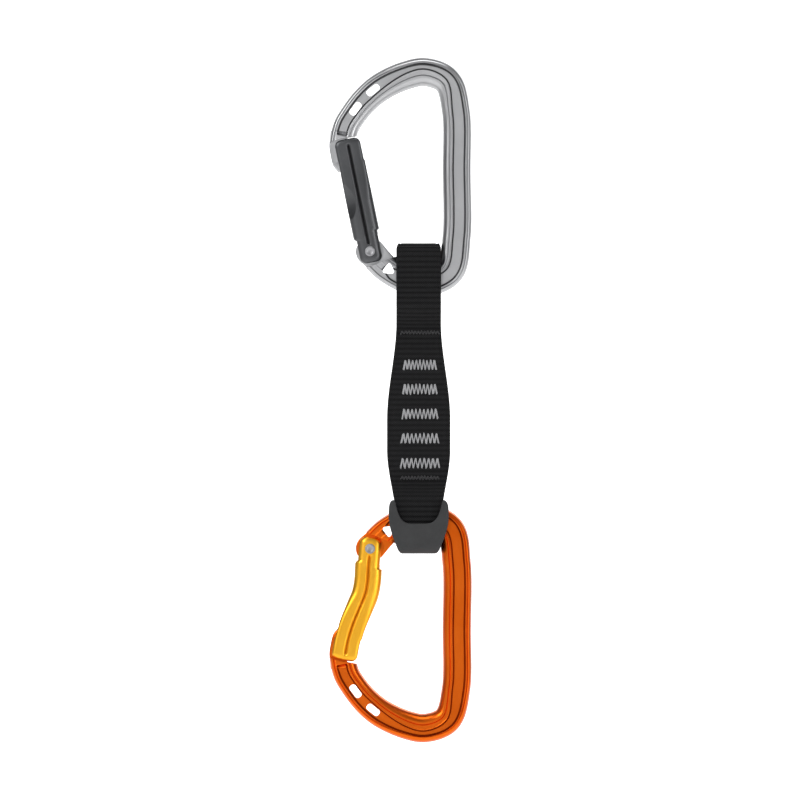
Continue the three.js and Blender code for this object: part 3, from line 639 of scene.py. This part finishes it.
def half_section(s):
    """One face of the bar at a distance, from the inner edge out: [across, half thickness, in the groove],
    where the last flag marks the points whose faces get painted shade.
    """
    near_bend = float(smooth(1 - abs(s - TOP_PLACE) / 24))
    size = {key: STRAIGHT[key] + (BEND[key] - STRAIGHT[key]) * near_bend for key in BEND}
    land = HALF - LAND_DROP
    sunk = pocket_depth(s)
    floor = land - (land - WEB_HALF) * sunk
    sides = []
    for rib, flat in ((size["inner_rib"], size["inner_land"]), (size["outer_rib"], size["outer_land"])):
        flat += 1.5 * float(smooth((s - CENTRE.length + 13) / 5))
        crease = CREASE * min(1.0, flat / 0.8)
        edge = rib + flat
        lip = min(0.45, 0.7 * flat)
        side = [(across, thick, False) for across, thick in rib_profile(rib)]
        side += [(rib + 0.4 * crease, land - crease, False), (rib + crease, land, False)]
        side += [(edge - lip, land, False), (edge - 0.6 * lip, land + 0.13, False)]
        side += [(edge - 0.1, land + 0.08, False)]
        bottom = floor - GROOVE_DEEPER * sunk
        # The groove beside the web is flagged so that its faces get painted shade, the darker copy of the
        # metal.
        side += [(edge, land - 0.1 * sunk, True), (edge + 0.04, bottom, True)]
        side += [(edge + GROOVE_FLOOR, bottom, True), (edge + GROOVE_WIDTH, floor, True)]
        side += [(edge + GROOVE_TO_WEB, floor, False)]
        sides.append(side)
    width = float(width_at(s))
    inner, outer = sides
    outer = [(width - across, thick, dark) for across, thick, dark in outer[::-1]]
    return inner + [((inner[-1][0] + outer[0][0]) / 2, floor, False)] + outer


def web_middle(s):
    """How far outside the centre line the middle of the web runs at a distance."""
    section = half_section(s)
    return section[len(section) // 2][0] - float(width_at(s)) / 2


def bar_body():
    """The bar swept along its centre line, from past the nose to the rivet."""
    stretches = [(0, 52, 0.5), (52, 76, 0.9), (76, 118, 1.6), (118, CENTRE.length, 0.55)]  # from, to, step
    places = np.concatenate([*(np.arange(*stretch) for stretch in stretches), [CENTRE.length]])
    rings, groove_shade_flags = [], []
    for s in places:
        centre = CENTRE.at(s)
        outward = outward_at(s)
        half = half_section(s)
        width = float(width_at(s))
        ring, dark = [], []
        for sign, side in ((-1, half), (1, half[-2:0:-1])):
            for across, thick, in_groove in side:
                x, z = centre + outward * (across - width / 2)
                ring.append((x, sign * thick, z - SEAT_DEPTH))
                # Painted shade: points in the groove beside a sunk web are flagged for the darker metal.
                dark.append(in_groove and pocket_depth(s) > 0.05)
        rings.append(ring)
        groove_shade_flags.append(dark)
    piece = loft("frame", rings)
    paint_groove_shade(piece, groove_shade_flags)
    return piece


def paint_groove_shade(piece, groove_shade_flags):
    """Gives the second material, a darker copy of the metal that paints shade into the groove, to the faces
    of a loft whose corners all lie in a groove.
    """
    dark = np.array(groove_shade_flags).ravel()
    for polygon in piece.data.polygons:
        if len(polygon.vertices) == 4 and all(dark[list(polygon.vertices)]):
            polygon.material_index = 1


def arc(centre, radius, start, end, steps=24):
    return [centre + radius * direction(a) for a in np.linspace(start, end, steps)]


def disc(name, radius, half, bevel=0.0):
    """A round plate or pin about the rivet's axis."""
    return prism(name, arc(RIVET, radius, 0, 352.5, 48), half, bevel)


def block(name, tilt, rise, across, half):
    """A box turned by `tilt` about the rivet, from its extents along and across the gate."""
    up, side = direction(90 + tilt), direction(tilt)
    corners = [(rise[0], across[0]), (rise[0], across[1]), (rise[1], across[1]), (rise[1], across[0])]
    return prism(name, [RIVET + up * a + side * b for a, b in corners], half)


def outward_at(s):
    """The direction in X and Z that points out of the carabiner at a distance along the centre line."""
    tangent = CENTRE.tangent(s)
    return np.array([-tangent[1], tangent[0]])


def tongue_outline():
    half = NOSE_WIDTH / 2
    left, right = NOSE_END[0] - half, NOSE_END[0] + TONGUE_INSET
    top, tip = NOSE_END[1] + 3, NOSE_END[1] - TONGUE_LENGTH
    down = NOSE_END[1]
    outer = spline(
        [
            (left + 0.3, top), (left - 0.2, down - 0.25 * TONGUE_LENGTH),
            (left + 0.3, down - 0.5 * TONGUE_LENGTH), (left + 1.3, down - 0.8 * TONGUE_LENGTH),
            (left + 3.3, tip),
        ],
        10,
    )
    control = np.array([right - 0.4, tip - 0.1])
    end = np.array([right, tip + 1.2])
    start = outer[-1]
    bend = [(1 - t) ** 2 * start + 2 * t * (1 - t) * control + t * t * end for t in np.linspace(0.1, 1, 10)]
    return np.array([*outer, *bend, (right, top)])


TONGUE = tongue_outline()
TIP_RADIUS = float(np.min(np.linalg.norm(TONGUE - RIVET, axis=1)))
SHOULDER_RADIUS = TIP_RADIUS + HEAD_LENGTH


def slot_prism(name, centre, angle, length, width, half):
    """A rounded slot or hole, as a solid to cut with."""
    radius = 0.42 * width
    ahead, side = direction(angle), direction(angle + 90)
    outline = []
    for forward, up, turn in ((1, 1, 0), (-1, 1, 90), (-1, -1, 180), (1, -1, 270)):
        corner = centre + ahead * forward * (length / 2 - radius) + side * up * (width / 2 - radius)
        outline += arc(corner, radius, angle + turn, angle + turn + 90, 8)
    return prism(name, outline, half)


def beside_rivet():
    """The space on the hinge's side of the flange's end, above the thin ear."""
    distance, angle = EAR_LINE
    normal, side = direction(angle), direction(angle + 90)
    reach = 16
    corners = [(distance, -reach), (distance, reach), (-reach, reach), (-reach, -reach)]
    return prism("beside", [RIVET + normal * out + side * across for out, across in corners], 2 * HALF)


def thin_end():
    """The bar's outline near the hinge, which carries on into the ear at the ear's thickness."""
    places = np.linspace(CENTRE.length - THIN_END, CENTRE.length, 18)
    left, right = [], []
    for k, s in enumerate(places):
        outward = outward_at(s)
        share = k / (len(places) - 1)
        half = (width_at(s) / 2 - 0.65) * (1 - share) + EAR_RADIUS * share
        left.append(CENTRE.at(s) - outward * half)
        right.append(CENTRE.at(s) + outward * half)
    return prism("thin_end", left + right[::-1], EAR_HALF - 0.03, 0.3)


def above_seat(tilt):
    """What is cut from the ear to leave the flat that the pusher bears on."""
    return block("above_seat", tilt, (PUSHER_FLAT, 9), (-9, EAR_RADIUS), 2 * EAR_HALF)


def hinge_window():
    """The rounded triangle through the web beside the hinge."""
    centre = CENTRE.at(CENTRE.length - HINGE_WINDOW_PLACE) - np.array([0, SEAT_DEPTH])
    outline = []
    for angle in (-35, 85, 205):
        corner = centre + HINGE_WINDOW_REACH * direction(angle)
        outline += arc(corner, HINGE_WINDOW_CORNER, angle - 60, angle + 60, 9)
    return prism("hinge_window", outline, 2 * HALF)


def make_frame(name, tilt):
    piece = bar_body()
    piece.name = name
    nose_space = prism(
        "nose_space",
        arc(RIVET, FLANGE_RADIUS, 90, 125, 48) + arc(RIVET, 0.6 * FLANGE_RADIUS, 125, 90, 8),
        2 * HALF,
    )
    cut(piece, nose_space, beside_rivet())
    soften(piece, 0.1, 50)
    for s in WINDOW_PLACES:
        tangent = CENTRE.tangent(s)
        angle = math.degrees(math.atan2(tangent[1], tangent[0]))
        middle = CENTRE.at(s) + 0.8 * web_middle(s) * outward_at(s)
        cut(piece, slot_prism("window", middle, angle, WINDOW_LENGTH, WINDOW_WIDTH, 2 * HALF))
    cut(piece, hinge_window())
    head_reach = prism("head_reach", arc(RIVET, SHOULDER_RADIUS, 90, 130, 40) + arc(RIVET, 20, 130, 90, 4), 9)
    head = combine(prism("head", TONGUE, HEAD_HALF, 0.7), head_reach, "INTERSECT")
    soften(head, 0.35, 50)
    tongue = prism("tongue", TONGUE, TONGUE_HALF, 0.6)
    for part in (tongue, head, thin_end(), disc("ear", EAR_RADIUS, EAR_HALF, 0.3)):
        combine(piece, part, "UNION")
    cut(piece, above_seat(tilt), disc("rivet_hole", RIVET_HOLE, 2 * HALF))
    return shade(piece)


# ---------------- Gates

def gate_half_width(s, length, side):
    """Half the gate's width on its left (-1) or right (1) at a distance from the rivet."""
    shoulder = GATE_SHOULDERS[1 if side > 0 else -1]
    half = GATE_HINGE_HALF + (GATE_WIDTH / 2 - GATE_HINGE_HALF) * smooth((s - shoulder) / 0.7 + 0.5)
    if side > 0:
        half -= GATE_TIP_STEP_DEPTH * smooth((s - GATE_TIP_STEP) / 0.5 + 0.5)
    half -= GATE_TAPER * smooth((s / length - 0.4) / 0.4)
    if s < GATE_CORNER - GATE_HINGE_END:
        into = (GATE_CORNER - GATE_HINGE_END - s) / GATE_CORNER
        half -= GATE_CORNER * (1 - math.sqrt(max(0.0, 1 - into * into)))
    return half


def gate_body(line_points):
    """A gate swept along its centre line: flat faces with rounded rims, and a groove down each face, whose
    middle is painted darker as shade.
    """
    line = Path(spline(line_points, 40))
    start = line.tangent(0.5)
    tip_start = line.length - GATE_TIP_ROUND
    corner = GATE_CORNER - GATE_HINGE_END
    below_rivet = [corner - GATE_CORNER * math.cos(a) for a in np.linspace(0.12, math.pi / 2, 14)]
    above_rivet = np.arange(corner + 0.5, tip_start, 0.4)
    rounding = tip_start + GATE_TIP_ROUND * np.sin(np.linspace(0, math.pi / 2 * 0.965, 12))
    rings, groove_shade_flags = [], []
    shares = np.sin(np.linspace(-math.pi / 2, math.pi / 2, 65))
    around = [(u, -1) for u in shares] + [(u, 1) for u in shares[-2:0:-1]]
    for s in [*below_rivet, *above_rivet, *rounding]:
        centre = line.at(s) if s > 0 else line.at(0) + start * s
        tangent = line.tangent(s) if s > 2 else start
        right = np.array([tangent[1], -tangent[0]])
        thick = GATE_HALF
        squeeze = 0.0
        if s < corner:
            thick -= 0.9 * (1 - math.sqrt(1 - min(1.0, (corner - s) / GATE_CORNER) ** 2))
        if s > tip_start:
            share = (s - tip_start) / GATE_TIP_ROUND
            squeeze = GATE_TIP_ROUND * (1 - math.sqrt(1 - share * share))
            thick -= 1.0 * (1 - math.sqrt(1 - share * share))
        sharpness = 3.8 + 5 * smooth((s / line.length - 0.4) / 0.35)
        groove = GATE_GROOVE * smooth((s - 2.4) / 0.8) * smooth((line.length - 1.4 - s) / 1.6)
        ring, dark = [], []
        for u, face in around:
            across = u * (gate_half_width(s, line.length, u) - squeeze)
            deep = face * thick * (1 - abs(u) ** sharpness) ** (1 / sharpness)
            deep *= 1 - 0.05 * u * u - groove / GATE_HALF * math.exp(-((across / GATE_GROOVE_WIDTH) ** 2))
            x, z = centre + right * across
            ring.append((x, deep, z))
            # Painted shade: the middle of the groove is flagged for the darker metal.
            dark.append(abs(across) < 0.36 and groove > 0.3)
        rings.append(ring)
        groove_shade_flags.append(dark)
    piece = loft("gate", rings)
    for vertex in piece.data.vertices:
        vertex.co += Vector((RIVET[0] * MM, 0, RIVET[1] * MM))
    paint_groove_shade(piece, groove_shade_flags)
    return piece


def scoop(tilt, face):
    """A cylinder that cuts a lens-shaped facet into one left-hand rim of the straight gate."""
    middle, radius, depth, reach = 20.3, 15.0, 1.9, 12
    up, left = direction(90 + tilt), -direction(tilt)
    outward = Vector((left[0], face * 0.8, left[1])).normalized()
    along = Vector((up[0], 0, up[1]))
    axis = outward.cross(along)
    rim = Vector((*(RIVET + up * middle + left * 4.7), 0)).xzy
    rim.y = face * 4.1
    centre = rim + outward * (radius - depth)
    round_points = [radius * direction(360 * k / 96) for k in range(96)]
    ends = [
        [tuple(centre + axis * end + outward * a + along * b) for a, b in round_points]
        for end in (-reach, reach)
    ]
    return extrude("scoop", *ends)


def keyhole_parts():
    """The slot for the tongue's neck and the pocket for its head, both open towards the nose."""
    right = NOSE_END[0] + TONGUE_INSET + SLOT_GAP - RIVET[0]
    inner = TIP_RADIUS - SLOT_GAP
    for name, outer, half in (
        ("neck_space", FLANGE_RADIUS + 5, TONGUE_HALF + SLOT_GAP),
        ("head_space", SHOULDER_RADIUS + SLOT_GAP, HEAD_HALF + SLOT_GAP),
    ):
        low = math.degrees(math.acos(right / inner))
        high = math.degrees(math.acos(right / outer))
        yield prism(name, arc(RIVET, inner, low, 140, 32) + arc(RIVET, outer, 140, high, 32), half)


def make_gate(name, line_points, tilt, scooped):
    piece = gate_body(line_points)
    piece.name = name
    if scooped:
        cut(piece, *(scoop(tilt, face) for face in (-1, 1)))
    cut(
        piece,
        *keyhole_parts(),
        block("fork", tilt, (-11, EAR_RADIUS + 0.6), (-11, 11), EAR_HALF + SLOT_GAP),
        disc("rivet_hole", RIVET_HOLE, 2 * HALF),
        block("bore", tilt, (EAR_RADIUS, EAR_RADIUS + BORE_LENGTH), (-BORE_HALF, BORE_HALF), BORE_HALF),
    )
    return shade(piece, 24)


def make_rivet(name):
    head, top, shank, rim, dish = 4.95, 5.5, 1.35, 1.95, 0.3
    face = [(0, -top + dish), (0.35 * rim, dish * 0.9 - top)]
    face += [(0.6 * rim, 0.25 * dish - top), (0.72 * rim, -top)]
    turns = np.linspace(0, 1.5, 6)
    edge = [(rim * (0.86 + 0.14 * math.sin(a)), -top + 0.28 * (1 - math.cos(a))) for a in turns]
    lower = face + edge + [(rim, -head - 0.05), (rim - 0.05, -head), (shank, -head)]
    upper = [(radius, -y) for radius, y in lower][::-1]
    return shade(lathe(name, lower + upper, RIVET), 50)


def make_spring(name, tilt):
    """The coil in the gate's bore, with its axis and its fixed end in metres."""
    up, side = direction(90 + tilt), direction(tilt)
    middle = []
    steps = 36 * SPRING_TURNS
    for k in range(steps + 1):
        a, b = SPRING_RADIUS * direction(360 * SPRING_TURNS * k / steps)
        x, z = RIVET + up * (SPRING_FOOT + SPRING_LENGTH * k / steps) + side * a
        middle.append(np.array([x, b, z]))
    path = Path(np.array(middle))
    rings = []
    axis = np.array([up[0], 0, up[1]])
    for s in np.linspace(0, path.length, steps):
        tangent = path.tangent(s, 0.1)
        out = np.cross(tangent, axis)
        out /= np.linalg.norm(out)
        rise = np.cross(out, tangent)
        around = [direction(45 * j) for j in range(8)]
        rings.append([path.at(s) + SPRING_WIRE * (out * a + rise * b) for a, b in around])
    top = RIVET + up * (SPRING_FOOT + SPRING_LENGTH)
    return shade(loft(name, rings), 60), tuple(axis), (top[0] * MM, 0, top[1] * MM)


STRAIGHT_LINE = [direction(90 + STRAIGHT_TILT) * (FLANGE_RADIUS - GATE_TIP_GAP) * k / 4 for k in range(5)]
BENT_LINE = [np.array(p) * (FLANGE_RADIUS - GATE_TIP_GAP) for p in BENT_SHAPE]


def add_carabiners():
    for prefix, line, tilt, scooped, looks in (
        ("upper", STRAIGHT_LINE, STRAIGHT_TILT, True, ("silver_frame", "grey_gate")),
        ("lower", BENT_LINE, BENT_TILT, False, ("orange_frame", "yellow_gate")),
    ):
        frame_piece = make_frame(f"{prefix}_frame_body", tilt)
        gate_piece = make_gate(f"{prefix}_gate_body_piece", line, tilt, scooped)
        rivet_piece = make_rivet(f"{prefix}_rivet")
        if prefix == "lower":
            for piece in (frame_piece, gate_piece, rivet_piece):
                below(piece)
        finish_piece(frame_piece, looks[0], f"{prefix}_carabiner", f"{prefix}_frame")
        finish_piece(gate_piece, looks[1], f"{prefix}_gate_body", f"{prefix}_gate")
        finish_piece(rivet_piece, "steel_rivet", f"{prefix}_carabiner", f"{prefix}_hinge_rivet")
        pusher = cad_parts[f"{prefix}_spring_pusher"]
        pusher.data.materials.clear()
        pusher.data.materials.append(LOOKS["steel_pusher"])
        spring, axis, anchor = make_spring(f"{prefix}_spring_coil", tilt)
        if prefix == "lower":
            below(spring)
            axis = (axis[0], -axis[1], -axis[2])
            anchor = (anchor[0], -anchor[1], -anchor[2] - SPAN * MM)
        finish_piece(spring, "spring_steel", f"{prefix}_gate_body", f"{prefix}_gate_spring")
        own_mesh(spring)
        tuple(axis)
        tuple(anchor)


# ---------------- Sling

def strap_width(z):
    from_top = smooth((LAP_TOP + WIDENS_ABOVE - z) / (WIDENS_ABOVE + 0.59 * LAP))
    from_bottom = smooth((z - LAP_BOTTOM + WIDENS_BELOW) / (WIDENS_BELOW + 0.21 * LAP))
    to_end = np.clip(min(STRAP_TOP - z, z - STRAP_BOTTOM) / LOOP_END_LENGTH, 0, 1)
    width = LOOP_WIDTH + (SEWN_WIDTH - LOOP_WIDTH) * from_top * from_bottom
    return width - (LOOP_WIDTH - LOOP_END_WIDTH) * (1 - to_end) ** 2


def in_loop(z):
    """1 where the strap is single in a loop, 0 where it is sewn, which draws its ridges together."""
    return float(smooth((z - LAP_TOP) / 8 + 1) + smooth((LAP_BOTTOM - z) / 8 + 1))


def strap_path():
    """The strap's centre line in Y and Z, from its inner end to its outer end."""
    upper, lower = (UPPER_OPENING + STRAP) / 2, (LOWER_OPENING + STRAP) / 2
    upper_turn, lower_turn = STRAP_TOP - STRAP / 2 - upper, STRAP_BOTTOM + STRAP / 2 + lower
    points = []

    def run(y, start, end):
        points.extend((y, z) for z in np.linspace(start, end, max(2, int(abs(end - start)))))

    def open_out(y0, y1, start, end):
        for share in np.arange(1, 24) / 24:
            points.append((y0 + (y1 - y0) * smooth(share), start + (end - start) * share))

    def turn(radius, centre, start, end):
        for a in np.linspace(start, end, 42)[1:-1]:
            points.append(tuple(np.array([0, centre]) + radius * direction(a)))

    run(0, LAP_TOP, LAP_BOTTOM)
    open_out(0, lower, LAP_BOTTOM, LAP_BOTTOM - OPEN_LOWER)
    run(lower, LAP_BOTTOM - OPEN_LOWER, lower_turn)
    turn(lower, lower_turn, 0, -180)
    run(-lower, lower_turn, LAP_BOTTOM - OPEN_LOWER)
    open_out(-lower, -LAYER, LAP_BOTTOM - OPEN_LOWER, LAP_BOTTOM)
    run(-LAYER, LAP_BOTTOM, LAP_TOP)
    open_out(-LAYER, -upper, LAP_TOP, LAP_TOP + OPEN_UPPER)
    run(-upper, LAP_TOP + OPEN_UPPER, upper_turn)
    turn(upper, upper_turn, 180, 0)
    run(upper, upper_turn, LAP_TOP + OPEN_UPPER)
    open_out(upper, LAYER, LAP_TOP + OPEN_UPPER, LAP_TOP)
    run(LAYER, LAP_TOP, LAP_BOTTOM + 2)
    return Path(np.array(points))


def strap_section(width):
    """One face of the strap across its width: [across, half thickness], with a groove by each selvedge."""
    edge = width / 2
    points = []
    for k in range(45):
        share = -math.cos(math.pi * k / 44)
        across = share * edge
        inside = edge - abs(across)
        rounded = STRAP / 2 * math.sqrt(max(0.0, 1 - max(0.0, 1 - inside / 0.6) ** 2))
        groove = 0.24 * math.exp(-(((inside - 1.15) / 0.28) ** 2))
        points.append((across, max(0.06, rounded - groove)))
    return points


def make_webbing():
    path = strap_path()
    places = np.arange(0, path.length, STRAP_STEP)
    generator = random.Random(7)
    rings, across_map, along_map = [], [], []
    drift = 0.0
    for s in places:
        y, z = path.at(s)
        tangent = path.tangent(s, 0.5)
        normal = np.array([-tangent[1], tangent[0]])
        drift = 0.93 * drift + generator.uniform(-0.03, 0.03)
        valley = (1 - abs(math.sin(math.pi * (s + drift) / RIDGE_PITCH))) ** 1.3
        ridge = (0.12 + 0.26 * in_loop(z)) * valley
        section = strap_section(strap_width(z))
        ring = []
        for sign, side in ((1, section), (-1, section[::-1])):
            for across, half in side:
                thick = sign * (half - ridge * smooth(half / 0.4) - 0.03)
                flat = (y + normal[0] * thick, z + normal[1] * thick)
                ring.append((STRAP_X + across, flat[0], flat[1]))
                across_map.append(across)
                along_map.append(s + drift)
        rings.append(ring)
    piece = loft("sling_strap", rings)
    write_map(piece, across_map, along_map)
    shade(piece, 60)
    return finish_piece(piece, "black_webbing", "sling", "sling_webbing")


def write_map(piece, across, along):
    """A UV map in millimetres across and along the piece."""
    layer = piece.data.uv_layers.new(name="strap")
    vertex_of_loop = np.zeros(len(piece.data.loops), dtype=np.int32)
    piece.data.loops.foreach_get("vertex_index", vertex_of_loop)
    pairs = np.stack([np.array(across)[vertex_of_loop], np.array(along)[vertex_of_loop]], axis=1)
    layer.data.foreach_set("uv", pairs.astype(np.float32).ravel())


def thread_tube(points, radius, sides=8):
    """Rings of a thin tube through points, with the distance along it."""
    path = Path(spline(points, 6))
    rings, distances = [], []
    for s in np.arange(0, path.length, THREAD_STEP):
        tangent = path.tangent(s, 0.2)
        side = np.cross(tangent, (0, 1, 0))
        side /= np.linalg.norm(side)
        up = np.cross(side, tangent)
        around = [direction(360 * k / sides) for k in range(sides)]
        rings.append([path.at(s) + radius * (side * a + up * b) for a, b in around])
        distances.append(s)
    return rings, distances


def zigzag(centre_z, width, height, count, face, lift, generator):
    """The points of one zigzag row on the strap's front (-1) or back (1) face."""
    out = LAYER + STRAP / 2 + lift
    points = []
    for k in range(2 * count + 1):
        x = STITCH_X + width * (k / (2 * count) - 0.5) + generator.uniform(-0.1, 0.1)
        z = centre_z + height / 2 * (1 if k % 2 else -1) + generator.uniform(-0.18, 0.18)
        points.append((x, face * (out - 0.32), z))
        if k < 2 * count:
            following = STITCH_X + width * ((k + 1) / (2 * count) - 0.5)
            for share in (0.25, 0.5, 0.75):
                points.append((x + (following - x) * share, face * out, z + (centre_z - z) * 2 * share))
    return points


def make_stitching(node, look, width, tall, count, radius, passes):
    """A zigzag row on each face of the strap, at the height of its CAD node, with its map."""
    low, high = box_mm(node)
    middle_z = (low[2] + high[2]) / 2
    generator = random.Random(node)
    vertices, faces, across_map, along_map = [], [], [], []
    for face in (-1, 1):
        for layer in range(passes):
            shift = generator.uniform(-0.12, 0.12)
            lift = 0.08 + 0.16 * layer
            points = zigzag(middle_z + shift, width - 0.5 * layer, tall, count, face, lift, generator)
            rings, distances = thread_tube(points, radius)
            base = len(vertices)
            size = len(rings[0])
            for i, ring in enumerate(rings):
                vertices.extend(ring)
                across_map.extend(k / size for k in range(size))
                along_map.extend([distances[i]] * size)
            for i in range(len(rings) - 1):
                a, b = base + i * size, base + (i + 1) * size
                faces += [(a + k, a + (k + 1) % size, b + (k + 1) % size, b + k) for k in range(size)]
            faces.append(tuple(range(base + size - 1, base - 1, -1)))
            last = base + (len(rings) - 1) * size
            faces.append(tuple(range(last, last + size)))
    piece = new_object(f"{node}_thread", vertices, faces)
    write_map(piece, across_map, along_map)
    shade(piece, 60)
    return finish_piece(piece, look, "sling", node)


def add_stitching():
    for k in range(1, BARTACKS + 1):
        width = BARTACK_WIDTH + BARTACK_GROWTH * k
        make_stitching(f"bartack_{k}", "grey_thread", width, tall=3.9, count=9, radius=0.21, passes=2)
    for end in ("upper", "lower"):
        make_stitching(f"end_stitch_{end}", "black_thread", 15, tall=1.3, count=12, radius=0.24, passes=1)


# ---------------- Retainer

def bezier(a, b, c, d, steps=18):
    a, b, c, d = (np.array(p, float) for p in (a, b, c, d))
    return [
        (1 - t) ** 3 * a + 3 * (1 - t) ** 2 * t * b + 3 * (1 - t) * t * t * c + t**3 * d
        for t in np.linspace(0, 1, steps)
    ]


def retainer_outline():
    """The cup's front outline: narrow below, with an ear at each side of a round notch."""
    bottom, top = RETAINER_LOW[2], RETAINER_HIGH[2]
    half = (RETAINER_HIGH[0] - RETAINER_LOW[0]) / 2
    foot, ear, notch = 7.3, 2.6, 9.0
    tall = top - bottom
    hip, waist, brow = (foot + 1, bottom + 1.9), (half, bottom + 0.72 * tall), (half - 0.2, top - 1.9)
    right = [
        *bezier((0, bottom), (0.5 * foot, bottom), (foot - 1.5, bottom), (foot - 0.9, bottom), 5),
        *bezier((foot - 0.9, bottom), (foot - 0.1, bottom), (foot + 0.5, bottom + 0.9), hip, 8),
        *bezier(hip, (half - 1.6, bottom + 0.32 * tall), (half, bottom + 0.5 * tall), waist, 14),
        *bezier(waist, (half, top - 3), (half - 0.1, top - 2.4), brow, 6),
        *bezier(brow, (half - 0.5, top - 0.4), (half - 1.2, top), (half - ear + 0.5, top), 9),
    ]
    inner = half - ear
    notch_side = bezier(
        (inner, top - 0.5), (inner - 1.2, top - 0.85 * notch), (0.62 * inner, top - notch),
        (0.3 * inner, top - notch),
    )
    side = right + notch_side
    centre = (RETAINER_LOW[0] + RETAINER_HIGH[0]) / 2
    mirrored = [(-x, z) for x, z in side[::-1]]
    return [(centre + x, z) for x, z in side + mirrored]


def side_prism(name, half, bottom, round_radius, width, centre=STRAP_X):
    """Straight walls on a rounded floor, drawn in Y and Z and given a width along X."""
    top = STRAP_BOTTOM + 45
    outline = [(half, top), (-half, top)]
    for side, start in ((-1, 180), (1, 270)):
        corner = np.array([side * (half - round_radius), bottom + round_radius])
        outline += arc(corner, round_radius, start, start + 90, 14)
    return extrude(name, *[[(centre + side * width / 2, y, z) for y, z in outline] for side in (-1, 1)])


def make_retainer():
    inner = LOWER_OPENING / 2 + STRAP + 0.3
    wall = RETAINER_HIGH[1]
    bottom = RETAINER_LOW[2]
    tie = 16.1  # width of the solid part between the cup's two walls
    whole = 60  # wider than the cup
    piece = prism("retainer_cup", retainer_outline(), wall + 3)
    combine(piece, side_prism("outer", wall - 0.02, bottom, 3.2, whole), "INTERSECT")
    cut(piece, side_prism("passage", inner, STRAP_BOTTOM + 2, 1, whole))
    cut(piece, side_prism("strap_slot", inner, STRAP_BOTTOM - 0.3, inner - 0.01, LOOP_WIDTH + 0.6))
    for side in (-1, 1):
        cut(piece, side_prism("beside_block", inner, bottom - 1, 0.5, 24, STRAP_X + side * (tie + 24) / 2))
    remesh = piece.modifiers.new("remesh", "REMESH")
    remesh.mode = "VOXEL"
    remesh.voxel_size = 0.22 * MM
    rounding = piece.modifiers.new("rounding", "SMOOTH")
    rounding.factor = 0.5
    rounding.iterations = 9
    apply_modifiers(piece)
    shade(piece, 80)
    return finish_piece(piece, "grey_rubber", "sling", "retainer")


# ---------------- The draw and its studio

middle_of_view = add_camera()
add_studio(middle_of_view)
add_backdrop(middle_of_view)
add_carabiners()
make_webbing()
add_stitching()
make_retainer()
